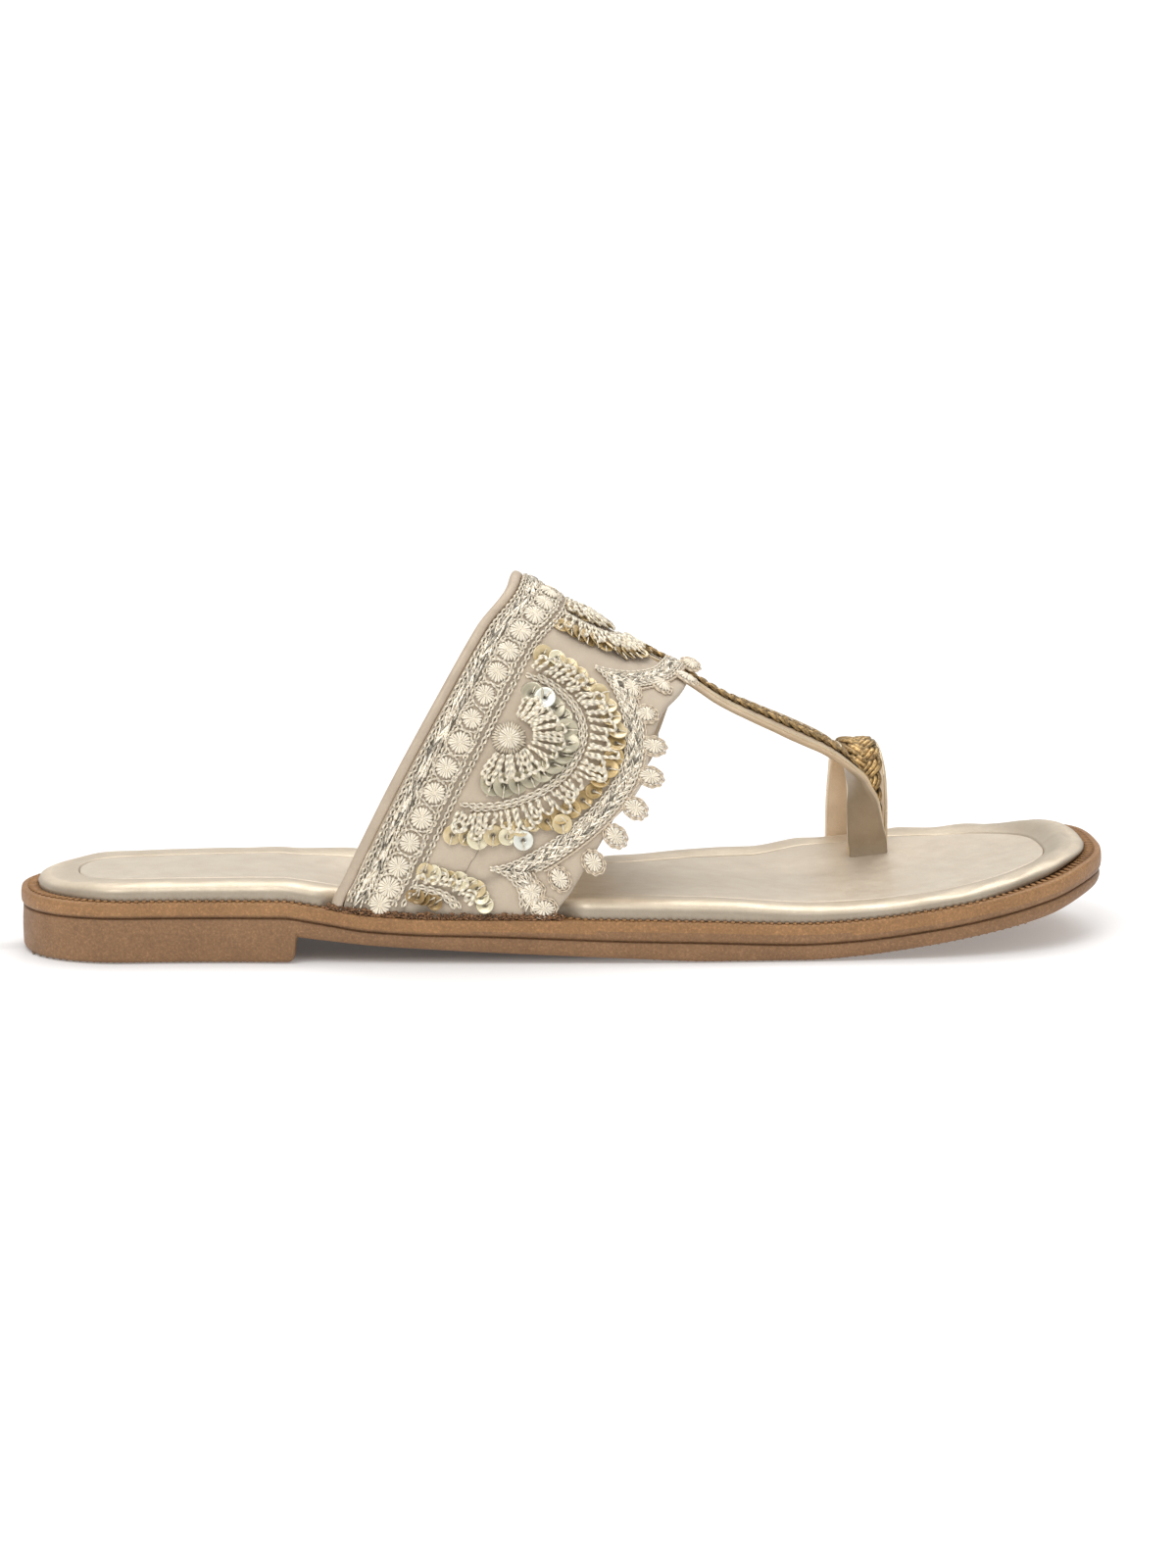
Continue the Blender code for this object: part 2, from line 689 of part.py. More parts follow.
def make_braids(mat):
    strap_lift = STRAP_THICKNESS / 2 + GAP + BRAID_THICKNESS / 2
    loop_lift = LOOP_THICKNESS / 2 + GAP + BRAID_THICKNESS / 2
    ribbon("strap_braid", strap_path(), STRAP_BRAID_WIDTH, BRAID_THICKNESS, strap_lift, mat, STRAP_BRAID_SPAN)
    ribbon("loop_braid", loop_path(), LOOP_BRAID_WIDTH, BRAID_THICKNESS, loop_lift, mat, LOOP_BRAID_SPAN)


# ---- assembly ---------------------------------------------------------------------------------------
def main():
    for obj in list(bpy.data.objects):
        bpy.data.objects.remove(obj, do_unlink=True)
    tan_rubber = material("tan_rubber", (0.42, 0.24, 0.12), 0.6)
    gold_leather = material("gold_leather", (0.70, 0.58, 0.42), 0.35, 0.5)
    sock_leather = material("sock_leather", (0.66, 0.55, 0.41), 0.38, 0.45)
    beige_fabric = material("beige_fabric", (0.62, 0.54, 0.42), 0.85)
    zari_thread = material("zari_thread", (0.72, 0.64, 0.50), 0.5, 0.4)
    bronze_braid = material("bronze_braid", (0.45, 0.26, 0.08), 0.35, 0.8)
    make_outsole(tan_rubber)
    make_insole(gold_leather)
    make_sock(sock_leather)
    make_upper(beige_fabric)
    make_binding(gold_leather)
    make_border(zari_thread)
    make_trim(zari_thread)
    make_braids(bronze_braid)


main()
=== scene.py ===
"""Kolhapuri T-strap sandal, right shoe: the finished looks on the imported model.

Lengths are millimetres in the maker's frame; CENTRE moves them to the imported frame.
"""
import math
from functools import partial

import bmesh
import bpy
import numpy as np
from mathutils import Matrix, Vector


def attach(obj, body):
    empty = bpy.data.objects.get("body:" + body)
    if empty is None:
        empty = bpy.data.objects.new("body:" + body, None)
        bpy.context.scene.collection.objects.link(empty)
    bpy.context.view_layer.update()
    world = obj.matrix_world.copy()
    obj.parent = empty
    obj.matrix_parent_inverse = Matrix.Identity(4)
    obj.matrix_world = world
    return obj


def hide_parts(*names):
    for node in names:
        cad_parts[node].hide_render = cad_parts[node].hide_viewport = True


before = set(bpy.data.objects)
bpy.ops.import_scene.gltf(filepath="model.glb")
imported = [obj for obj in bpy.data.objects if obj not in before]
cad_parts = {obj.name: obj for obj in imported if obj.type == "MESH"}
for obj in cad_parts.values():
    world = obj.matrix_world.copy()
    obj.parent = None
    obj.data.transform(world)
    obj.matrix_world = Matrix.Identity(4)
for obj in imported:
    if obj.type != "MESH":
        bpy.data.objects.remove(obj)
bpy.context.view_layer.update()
CENTRE = np.array([1, 4.35, 0])
MM = 0.001
PI = math.pi
GAP = 0.3
RNG = np.random.default_rng(7)

# ---- the last's tables, as in the part's source ----
HEEL_BACK, TOE_TIP = -124.3, 126.3
HEEL_START, TOE_START = -98, 75
HEEL_EXP, TOE_EXP = 2.3, (2.2, 2.75)
TOE_CENTRE_Y = 5.5
BREAST_X = -63
LIFTS = [(-66, -45, -32, 5, 2, 22, 2.5), (-5, 55, 95, 125, 6, 46, 2),
         (106, 124, 130, 131, -12, 24, 1.2)]
PLAN = [(-98, 26.3, 26.5), (-80, 27.3, 27), (-60, 29.6, 26.6), (-35, 32.6, 26.2), (-10, 34.6, 27.2),
        (15, 36, 30.6), (40, 37, 38.4), (60, 37.3, 44.6), (75, 37, 46)]
HEIGHTS = [(-125, 14, 6), (-66, 14, 6), (-58, 12.9, 5.2), (-46, 11, 3.9), (-30, 10.2, 2.9),
           (-5, 10, 1.6), (15, 9.6, 0.6), (30, 9.2, 0), (52, 8.5, 0), (65, 9.1, 0.8),
           (80, 10.8, 2.7), (95, 13, 5), (110, 15.7, 7.6), (126.3, 19.1, 11.4)]
WELT = [(-125, 3.6), (-30, 3.7), (15, 4.7), (126, 4.3)]
RIM = [(-125, 3), (-105, 3.9), (-60, 4.3), (30, 4.5), (55, 3.6), (75, 3), (108, 2.6), (126.3, 1.4)]
RIDGE = [(-58, 97), (-35, 93), (-10, 84.3), (6, 75), (15, 68.6), (21, 65), (30, 60.6), (46, 53)]
EDGES = [(0, -49.6, 0.7), (0.09, -46.7, 4.4), (0.31, -38.4, 12.3), (0.64, -25, 20.9), (0.82, -18, 24.5),
         (1, -11, 29.9)]
GIRTH_ACROSS, GIRTH_UP = 34, 66
RIDGE_Y, SKEW, VAMP_INSET, WALL = 3, 5, 1.1, 2.2
VAMP_ZONE = {-1: (-52.5, -3), 1: (-42.5, 7.5)}
LOOP_ZONE = (64, 79)
SLOT_X, POST_Y, LEG_Y = 74.5, 22.2, 24.2
SOCK_INSET = 9.3
STRAP_HALF, STRAP_THICK = 4.5, 1.9
LOOP_HALF, LOOP_THICK = 4.7, 2.1


# ---- helpers ----
def smooth(t):
    t = np.clip(t, 0, 1)
    return t * t * (3 - 2 * t)


def read(table, x, column=1):
    """Monotone cubic through one column of a table, for arrays of x."""
    data = np.array(table, float)
    xs, ys = data[:, 0], data[:, column]
    d = np.diff(ys) / np.diff(xs)
    product, total = d[:-1] * d[1:], d[:-1] + d[1:]
    m = np.zeros(len(xs))
    m[1:-1] = np.where(product > 0, 2 * product / np.where(np.abs(total) < 1e-12, 1, total), 0)
    x = np.clip(np.asarray(x, float), xs[0], xs[-1])
    i = np.clip(np.searchsorted(xs, x, side="right") - 1, 0, len(xs) - 2)
    h = xs[i + 1] - xs[i]
    t = (x - xs[i]) / h
    return (ys[i] * (1 + 2 * t) * (1 - t) ** 2 + ys[i + 1] * t * t * (3 - 2 * t)
            + m[i] * h * t * (1 - t) ** 2 - m[i + 1] * h * t * t * (1 - t))


def wave(x, y, z=0, seed=0):
    """Smooth irregular field of about unit size, made of a few crossing sines."""
    return (np.sin(x + 1.7 * np.sin(y * 0.63 + seed) + seed) * 0.5
            + np.sin(y * 1.3 + 1.1 * np.sin(x * 0.77 + 2.1 * seed) + z) * 0.3
            + np.sin((x + y) * 0.71 + z * 1.9 + 3.3 * seed) * 0.2)


def unit(a):
    return a / np.maximum(np.linalg.norm(a, axis=-1, keepdims=True), 1e-9)


def arc_length(pts):
    return np.concatenate([[0], np.cumsum(np.linalg.norm(np.diff(pts, axis=0), axis=1))])


def along(at, s, rows):
    """Rows of values known at lengths s, read at other lengths."""
    return np.stack([np.interp(at, s, rows[:, k]) for k in range(rows.shape[1])], 1)


def quads(index):
    """Faces of a grid of point numbers."""
    return np.stack([index[:-1, :-1], index[:-1, 1:], index[1:, 1:], index[1:, :-1]], -1).reshape(-1, 4)


def grid_faces(rows, cols, wrap_cols=True, wrap_rows=False):
    """Quads of a rows x cols grid of points numbered row by row."""
    return quads((np.arange(rows + wrap_rows) % rows)[:, None] * cols + np.arange(cols + wrap_cols) % cols)


def add_tone(obj, shade):
    """Keeps shade (values, or a function of the points in mm) as the mesh's light and dark tones."""
    count = len(obj.data.vertices)
    if callable(shade):
        co = np.empty(count * 3)
        obj.data.vertices.foreach_get("co", co)
        shade = shade(co.reshape(-1, 3) / MM + CENTRE)
    rgba = np.ones((count, 4))
    rgba[:, :3] = np.asarray(shade)[:, None]
    obj.data.color_attributes.new("tone", "FLOAT_COLOR", "POINT").data.foreach_set("color", rgba.ravel())


def add_object(name, data):
    """A new object in the scene's collection."""
    obj = bpy.data.objects.new(name, data)
    bpy.context.scene.collection.objects.link(obj)
    return obj


def mesh_object(name, pts, faces, mat, tones=None, turn_outward=True):
    """One object from points in millimetres, riding on the root."""
    mesh = bpy.data.meshes.new(name)
    mesh.from_pydata((np.asarray(pts, float).reshape(-1, 3) - CENTRE) * MM, [], faces)
    mesh.materials.append(mat)
    if turn_outward:
        bm = bmesh.new()
        bm.from_mesh(mesh)
        bmesh.ops.recalc_face_normals(bm, faces=bm.faces)
        bm.to_mesh(mesh)
        bm.free()
    mesh.shade_smooth()
    obj = add_object(name, mesh)
    if tones is not None:
        add_tone(obj, np.broadcast_to(tones, (len(mesh.vertices),)))
    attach(obj, "root")
    return obj


# ---- the sole's form ----
def half_width(x, side):
    x = np.asarray(x, float)
    column = np.where(np.asarray(side) < 0, 1, 2)

    def pick(values):
        return np.where(column == 1, *values)

    th = np.clip((HEEL_START - x) / (HEEL_START - HEEL_BACK), 0, 1)
    heel = pick(PLAN[0][1:]) * np.maximum(0, 1 - th ** HEEL_EXP) ** (1 / HEEL_EXP)
    tt = np.clip((x - TOE_START) / (TOE_TIP - TOE_START), 0, 1)
    power = pick(TOE_EXP)
    toe = (pick(PLAN[-1][1:]) - side * TOE_CENTRE_Y) * np.maximum(0, 1 - tt ** power) ** (1 / power) \
        + side * TOE_CENTRE_Y
    middle = pick((read(PLAN, x, 1), read(PLAN, x, 2)))
    return np.where(x < HEEL_START, heel, np.where(x > TOE_START, toe, middle))


def medial_lift(x, y):
    return sum(height * smooth((x - start) / (full - start)) * smooth((end - x) / (end - fade))
               * smooth((y - low) / (high - low))
               for start, full, fade, end, low, high, height in LIFTS)


def welt_top(x, y):
    return read(HEIGHTS, x, 1) + medial_lift(x, y)


def underside(x, y):
    """Lower face, with the heel block's breast and its small lower radius."""
    r = 1.8
    t = np.clip((x - (BREAST_X - r)) / r, 0, 1)
    block = r * (1 - np.sqrt(np.maximum(0, 1 - t * t)))
    rise = smooth((x - BREAST_X + 0.02) / 0.5)
    return np.where(x < BREAST_X, block, block + (read(HEIGHTS, x, 2) + medial_lift(x, y) - block) * rise)


def outline():
    """Dense loop of the sole's edge: outer side heel to toe, back along the inner side."""
    heel = HEEL_START - (HEEL_START - HEEL_BACK) * np.sin(np.radians(np.linspace(90, 1.5, 64)))
    middle = np.concatenate([np.arange(-98, -65.5, 1), np.arange(-65, -62.9, 0.25),
                             [-62.85, -62.7, -62.5, -62.2], np.arange(-61.5, 74.8, 1)])
    toe = TOE_START + (TOE_TIP - TOE_START) * np.sin(np.radians(np.linspace(0.5, 90, 92)))
    xs = np.concatenate([heel, middle, toe])
    outer = np.stack([xs, -half_width(xs, -1)], 1)
    inner = np.stack([xs, half_width(xs, 1)], 1)
    return np.concatenate([outer, inner[-2:0:-1]])


EDGE = outline()
EDGE_X, EDGE_Y = EDGE.T
COUNT = len(EDGE)


def inset(insets):
    """The sole's edge moved inward."""
    t = unit(np.roll(EDGE, -1, 0) - np.roll(EDGE, 1, 0))
    return EDGE + np.stack([-t[:, 1], t[:, 0]], 1) * np.broadcast_to(insets, (COUNT,))[:, None]


def raised(loop, z):
    return np.concatenate([loop, np.asarray(z)[:, None]], 1)


def ring_mesh(name, rings, top, bottom, columns, mat):
    """Closed mesh from a stack of rings with curved faces below and above."""
    verts = list(rings)
    faces = grid_faces(len(rings), COUNT).tolist()
    total = len(rings) * COUNT
    half = COUNT // 2
    i = np.arange(1, half)
    t = (np.arange(1, columns) / columns)[None, :, None]
    for which, height in ((0, bottom), (len(rings) - 1, top)):
        ring, base = rings[which], which * COUNT
        flat = ring[i][:, None, :2] * (1 - t) + ring[COUNT - i][:, None, :2] * t
        verts.append(np.concatenate([flat, height(flat[..., 0], flat[..., 1])[..., None]], -1).reshape(-1, 3))
        inner = total + np.arange((half - 1) * (columns - 1)).reshape(half - 1, -1)
        index = np.concatenate([base + i[:, None], inner, base + COUNT - i[:, None]], 1)
        faces += quads(index).tolist()
        for end, line in ((base, index[0]), (base + half, index[-1])):
            faces += [[end, line[c], line[c + 1]] for c in range(columns)]
        total += inner.size
    return mesh_object(name, np.concatenate(verts), faces, mat)


# ---- the vamp's form ----
def girth_table():
    a = np.linspace(0, PI / 2, 401)
    s = arc_length(np.stack([GIRTH_ACROSS * np.cos(a), GIRTH_UP * np.sin(a)], 1))
    return s / s[-1], a


GIRTH = girth_table()


def surface(v, u):
    """Outer face of the vamp: v -1 outer foot, 0 ridge, 1 inner foot; u 0 back edge, 1 front edge."""
    v = np.clip(v, -1, 1)
    half = np.interp(1 - np.abs(v), *GIRTH)
    angle = np.where(v < 0, half, PI - half)
    up = np.sin(angle)
    back, front = read(EDGES, up, 1), read(EDGES, up, 2)
    x = back + (front - back) * u - SKEW * np.cos(angle)
    side = np.where(v < 0, -1, 1)
    foot_y = side * (half_width(x, side) - VAMP_INSET)
    foot_z = welt_top(x, foot_y) + GAP
    y = RIDGE_Y + (foot_y - RIDGE_Y) * np.abs(np.cos(angle))
    return np.stack([x, y, foot_z + (read(RIDGE, x) - foot_z) * up], -1)


def tangents(v, u):
    """Unit-parameter tangents round the girth and along the vamp, and the outward normal."""
    e = 0.003
    v, u = np.asarray(v, float), np.asarray(u, float)
    hi, lo = np.minimum(v + e, 1), np.maximum(v - e, -1)
    tv = (surface(hi, u) - surface(lo, u)) / (hi - lo)[..., None]
    tu = (surface(v, u + e) - surface(v, u - e)) / (2 * e)
    return tv, tu, unit(np.cross(tu, tv))


def lifted(v, u, h):
    v, u = np.broadcast_arrays(v, u)
    return surface(v, u) + tangents(v, u)[2] * np.asarray(h)[..., None]


# ---- materials ----
def connect(tree, socket, value):
    if isinstance(value, bpy.types.NodeSocket):
        tree.links.new(value, socket)
    else:
        socket.default_value = value


def node(tree, kind, inputs, **settings):
    new = tree.nodes.new("ShaderNode" + kind)
    for key, value in settings.items():
        setattr(new, key, value)
    for key, value in inputs.items():
        connect(tree, new.inputs[key], value)
    return new.outputs


def noise(tree, vector, scale, detail=3, rough=0.5, distortion=0):
    return node(tree, "TexNoise", {"Vector": vector, "Scale": scale, "Detail": detail, "Roughness": rough,
                                   "Distortion": distortion})["Fac"]


def ramp(tree, fac, stops):
    """Colour ramp; a stop is a position and a colour or a grey value."""
    new = tree.nodes.new("ShaderNodeValToRGB")
    tree.links.new(fac, new.inputs["Fac"])
    while len(new.color_ramp.elements) < len(stops):
        new.color_ramp.elements.new(0.5)
    for element, (place, colour) in zip(new.color_ramp.elements, stops):
        element.position = place
        element.color = (*(colour if isinstance(colour, tuple) else (colour,) * 3), 1)
    return new.outputs["Color"]


def product(tree, *colours):
    """Colours multiplied with each other and with the mesh's tones, which hold painted light and shade besides its own
    tone.
    """
    result = colours[0]
    for other in (*colours[1:], node(tree, "VertexColor", {}, layer_name="tone")["Color"]):
        result = node(tree, "Mix", {0: 1, 6: result, 7: other}, data_type="RGBA", blend_type="MULTIPLY")[2]
    return result


def new_material(name, colour, rough, metallic=0, **sockets):
    mat = bpy.data.materials.new(name)
    mat.use_nodes = True
    shader = mat.node_tree.nodes["Principled BSDF"]
    sockets.update(Base_Color=(*colour, 1), Roughness=rough, Metallic=metallic)
    for key, value in sockets.items():
        shader.inputs[key.replace("_", " ")].default_value = value
    return mat, mat.node_tree, shader


def material(name, light, dark, rough, metallic, mottle, bumps, speck=None, gloss=None, **sockets):
    """Mottle between a dark and a light colour with specks, bumps and an uneven gloss over it.

    mottle is (noise, place of the dark, place of the light), speck and gloss are (noise, stops), and a bump is
    (noise or None for round cells, strength, depth).
    """
    mat, tree, shader = new_material(name, light, rough, metallic, **sockets)
    where = node(tree, "TexCoord", {})["Object"]
    xyz = node(tree, "Mapping", {"Vector": where, "Scale": (1 / MM,) * 3})["Vector"]
    field, low, high = mottle
    colours = [ramp(tree, noise(tree, xyz, *field), [(low, dark), (high, light)])]
    if speck:
        colours.append(ramp(tree, noise(tree, xyz, *speck[0]), speck[1]))
    connect(tree, shader.inputs["Base Color"], product(tree, *colours))
    normal = None
    for field, strength, depth in bumps:
        if field:
            height = noise(tree, xyz, *field)
        else:
            height = node(tree, "TexVoronoi", {"Vector": xyz, "Scale": 1.5})["Distance"]
        inputs = {"Strength": strength, "Distance": depth * MM, "Height": height}
        if normal is not None:
            inputs["Normal"] = normal
        normal = node(tree, "Bump", inputs)["Normal"]
    connect(tree, shader.inputs["Normal"], normal)
    if gloss:
        connect(tree, shader.inputs["Roughness"], ramp(tree, noise(tree, xyz, *gloss[0]), gloss[1]))
    return mat


def rubber(name, light, dark, grain=1):
    """Moulded rubber with a fine leather-like grain and a soft mottle."""
    return material(name, light, dark, 0.55, 0, ((0.1, 4, 0.6), 0.3, 0.7),
                    [((1.9, 3, 0.65), 0.75 * grain, 0.22)],
                    ((1.7, 3, 0.7), [(0.3, 0.74), (0.55, 0.97), (0.68, 1.34)]),
                    ((1, 2), [(0.3, 0.46), (0.7, 0.62)]))


def gold(name, light, dark, rough, metallic, crease):
    """Leather with a metallic coat: pebbled grain, fine creases, uneven sheen."""
    return material(name, light, dark, rough, metallic, ((0.16, 4, 0.6), 0.3, 0.68),
                    [(None, 0.16 * crease, 0.12), ((0.5, 5, 0.62, 0.6), 0.22 * crease, 0.5)],
                    ((4, 3, 0.7), [(0.2, 0.86), (0.75, 1.05)]),
                    ((0.35, 4), [(0.25, rough - 0.07), (0.75, rough + 0.1)]))


def suede(name, light, dark):
    """Suede-like cloth: soft nap, faint mottle, a little sheen."""
    return material(name, light, dark, 0.88, 0, ((0.22, 5, 0.65), 0.25, 0.7), [((4.2, 3, 0.7), 0.3, 0.12)],
                    ((3.6, 4, 0.75), [(0.2, 0.86), (0.75, 1.06)]), Sheen_Weight=0.25, Sheen_Roughness=0.5)


def thread(name, light, dark, rough, metallic):
    """Metallic thread: bright and dark flecks along the twist."""
    return material(name, light, dark, rough, metallic, ((1.6, 3, 0.7), 0.3, 0.58), [((6, 2, 0.6), 0.35, 0.1)])


def satin(name, light, dark):
    """Satin stitch over padding: soft cream thread."""
    return material(name, light, dark, 0.55, 0.12, ((1.2, 3, 0.7), 0.25, 0.6), [((5, 2, 0.6), 0.2, 0.08)],
                    Sheen_Weight=0.2, Sheen_Roughness=0.4)


def film(name, light, dark):
    """A sequin's clear tinted film with a shiny face."""
    return material(name, light, dark, 0.26, 0.22, ((0.45, 2), 0.3, 0.62), [((1.1, 2), 0.12, 0.1)],
                    Transmission_Weight=0.12, IOR=1.45, Coat_Weight=0.5, Coat_Roughness=0.12)


SOLE = rubber("sole_tan", (0.4, 0.206, 0.08), (0.325, 0.163, 0.062))
SOLE_LOW = rubber("sole_side", (0.315, 0.168, 0.075), (0.258, 0.135, 0.059))
TREAD = rubber("sole_tread", (0.36, 0.27, 0.19), (0.3, 0.22, 0.15), 0.6)
RIM_GOLD = gold("rim_gold", (0.74, 0.635, 0.49), (0.65, 0.545, 0.41), 0.42, 0.5, 0.55)
SOCK_GOLD = gold("sock_gold", (0.765, 0.67, 0.535), (0.69, 0.585, 0.455), 0.42, 0.42, 0.6)
STRAP_GOLD = gold("strap_gold", (0.6, 0.48, 0.345), (0.52, 0.405, 0.285), 0.4, 0.42, 0.7)
EDGE_GOLD = gold("edge_gold", (0.8, 0.66, 0.46), (0.7, 0.56, 0.38), 0.3, 0.5, 0.6)
BINDING = gold("binding_leather", (0.66, 0.54, 0.41), (0.57, 0.46, 0.345), 0.5, 0.2, 0.6)
FABRIC = suede("band_cloth", (0.652, 0.55, 0.422), (0.58, 0.476, 0.358))
LINING = suede("band_lining", (0.66, 0.56, 0.43), (0.6, 0.5, 0.38))
NET = suede("lace_net", (0.8, 0.7, 0.58), (0.7, 0.6, 0.48))
# dark backing: the lace's ground with painted shade between its stitches, and the painted shade of the cloth crease
BACKING_AND_SHADE = suede("embroidery_backing_and_shade", (0.54, 0.455, 0.35), (0.4, 0.33, 0.25))
ZARI = thread("zari", (1, 0.9, 0.73), (0.58, 0.48, 0.34), 0.38, 0.3)
SILVER = thread("zari_silver", (0.96, 0.865, 0.71), (0.33, 0.26, 0.175), 0.3, 0.5)
RING = thread("zari_line", (1, 0.91, 0.75), (0.8, 0.68, 0.5), 0.42, 0.2)
LOOP = thread("zari_loop", (1, 0.92, 0.75), (0.82, 0.69, 0.5), 0.36, 0.28)
PEACH = thread("pale_cord", (0.92, 0.78, 0.6), (0.72, 0.58, 0.42), 0.5, 0.12)
BRONZE = thread("bronze", (0.8, 0.53, 0.225), (0.11, 0.052, 0.016), 0.32, 0.6)
GLUE = thread("glue_line", (0.25, 0.125, 0.056), (0.08, 0.042, 0.02), 0.7, 0)
CREAM = satin("cream_satin", (0.94, 0.86, 0.71), (0.86, 0.76, 0.6))
PAD = satin("pad_thread", (0.76, 0.67, 0.52), (0.66, 0.56, 0.42))
SEQUINS = {
    "film": film("sequin_film", (0.95, 0.87, 0.62), (0.84, 0.74, 0.48)),
    "gold": film("sequin_gold", (0.86, 0.7, 0.42), (0.7, 0.54, 0.28)),
    "grey": film("sequin_clear", (0.62, 0.56, 0.4), (0.5, 0.45, 0.32)),
    "bronze": film("sequin_bronze", (0.7, 0.5, 0.22), (0.46, 0.31, 0.12)),
    "white": film("sequin_bright", (0.97, 0.97, 0.88), (0.9, 0.9, 0.8)),
    "dark": film("sequin_brown", (0.42, 0.27, 0.1), (0.24, 0.145, 0.05)),
}


# ---- outsole ----
def make_outsole():
    top = welt_top(EDGE_X, EDGE_Y)
    low = underside(EDGE_X, EDGE_Y)
    groove = top - read(WELT, EDGE_X)
    side_start = low + 1.3
    side_end = np.maximum(groove - 0.75, side_start + 0.05)
    lower = [(3.4, low), (2.2, low + 0.06), (1.25, low + 0.3), (0.8, low + 0.62), (0.58, low + 1)]
    lower += [(0.5 - 0.16 * math.sin(PI * t), side_start + (side_end - side_start) * t)
              for t in np.linspace(0, 1, 7)]
    lower += [(0.5, groove - 0.34), (0.8, groove - 0.24), (1.1, groove - 0.08)]
    upper = [(1.1, groove + 0.06), (0.72, groove + 0.18), (0.34, groove + 0.28)]
    upper += [(0.3 * abs(2 * t - 1.02) ** 2.4, groove + (top - groove) * t)
              for t in (0.2, 0.34, 0.5, 0.66, 0.78, 0.87, 0.94)]
    upper += [(0.42, top - 0.1), (0.75, top - 0.01), (1.2, top)]
    body = ring_mesh("outsole_body", [raised(inset(a), z) for a, z in lower + upper], welt_top, underside, 30, SOLE)
    mesh = body.data
    mesh.materials.append(SOLE_LOW)
    split = (len(lower) - 2) * COUNT
    x, y, z = (np.array([v.co[:] for v in mesh.vertices]) / MM + CENTRE).T
    deep = z < welt_top(x, y) - 3
    slots = [deep[poly.vertices[0]] or poly.vertices[0] < split and max(poly.vertices) < split + COUNT
             for poly in mesh.polygons]
    mesh.polygons.foreach_set("material_index", np.array(slots, np.int32))
    from_edge = np.array([np.min(np.hypot(EDGE_X[::3] - a, EDGE_Y[::3] - b)) for a, b in zip(x, y)])
    # painted shade: darker in the side groove, and a little on the welt's top from the ribs inward under the rim
    under_rim_shade = smooth((z - welt_top(x, y) + 0.25) / 0.2) * smooth((from_edge - rib_start(x, y) + 0.5) / 0.5)
    groove_shade = np.exp(-((z - welt_top(x, y) + read(WELT, x)) / 0.3) ** 2)
    add_tone(body, 1 - 0.3 * groove_shade - 0.02 * under_rim_shade)
    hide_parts("outsole")


def strip_boxes(name, centres, lengthwise, across, up, size, mat, taper, tones):
    """Many small ridges as one mesh: centres and unit frames as arrays, size (length, width, height)."""
    l, w, h = [np.asarray(s, float).reshape(-1, 1) for s in size]
    pts = np.stack([centres + lengthwise * (end * l / 2) + across * (out * w / 2) + up * (high * h)
                    for end in (-1, 1) for out, high in ((-1, 0), (-taper, 1), (taper, 1), (1, 0))], 1)
    face = np.array([[0, 1, 5, 4], [1, 2, 6, 5], [2, 3, 7, 6], [3, 0, 4, 7], [0, 3, 2, 1], [4, 5, 6, 7]])
    faces = (face[None] + 8 * np.arange(len(centres))[:, None, None]).reshape(-1, 4)
    return mesh_object(name, pts, faces, mat, tones)


def rib_length(x, y):
    return np.clip((insole_inset(x, y) - 0.6) * 0.66, 0.8, 2.3)


def rib_start(x, y):
    """How far in from the sole's edge the knurled band begins."""
    return insole_inset(x, y) - 0.15 - rib_length(x, y)


def make_welt_ribs():
    """The fine stitch-like ribs pressed into the welt's top next to the footbed."""
    loop = inset(rib_start(EDGE_X, EDGE_Y) + rib_length(EDGE_X, EDGE_Y) / 2)
    closed = np.concatenate([loop, loop[:1]])
    s = arc_length(closed)
    count = int(s[-1] / 1.75)
    pts = along(np.arange(count) * s[-1] / count, s, closed)
    tan = raised(unit(np.roll(pts, -1, 0) - np.roll(pts, 1, 0)), np.zeros(count))
    up = np.array([0, 0, 1])
    slant = unit(np.cross(up, tan) + 0.25 * tan)
    ribs = strip_boxes("welt_ribs", raised(pts, welt_top(*pts.T) - 0.04), slant, np.cross(up, slant), up,
                       (rib_length(*pts.T), 0.95, 0.44), SOLE, 0.7, None)

    # painted light and shade: each rib darker at its foot and lighter on top, with more contrast near the toe and heel
    # ends
    def knurl_light_and_shade(q):
        x, y, z = q.T
        ends = smooth((x - 84) / 16) + smooth((-98 - x) / 14)
        return 0.86 - 0.32 * ends + (0.24 + 0.46 * ends) * smooth((z - welt_top(x, y) - 0.1) / 0.3)

    add_tone(ribs, knurl_light_and_shade)


def make_tread():
    rows = []
    for x in np.concatenate([np.arange(-121.5, -66, 1.5), np.arange(18, 104, 1.9)]):
        y0, y1 = -float(half_width(x, -1)) + 2.2, float(half_width(x, 1)) - 2.2
        if y1 - y0 < 6:
            continue
        ys = np.linspace(y0, y1, 2 if x < -60 else 10)
        rows += [(x, (a + b) / 2, b - a) for a, b in zip(ys, ys[1:])]
    x, y, length = np.array(rows).T
    across, lengthwise, up = np.diag([1, 1, -1])
    strip_boxes("sole_tread", np.stack([x, y, underside(x, y) + 0.42], 1), lengthwise, across, up,
                (length, 0.9, 0.42), TREAD, 0.6, 1)


# ---- insole ----
def zone(x, start, end):
    return smooth((x - start + 6) / 6) * smooth((end + 6 - x) / 6)


def insole_inset(x, y):
    ends = smooth((-100 - x) / 20) + smooth((x - 88) / 25)
    inner = np.maximum(zone(x, *VAMP_ZONE[1]), zone(x, *LOOP_ZONE))
    return 1.5 + (4.1 - 1.5) * np.minimum(1, ends + np.where(y < 0, zone(x, *VAMP_ZONE[-1]), inner))


def seam_inset():
    """The rim's seam runs smoothly past the places where its outer edge is pressed in."""
    base = insole_inset(EDGE_X, EDGE_Y)
    for _ in range(300):
        base = (np.roll(base, 1) + 2 * base + np.roll(base, -1)) / 4
    return base


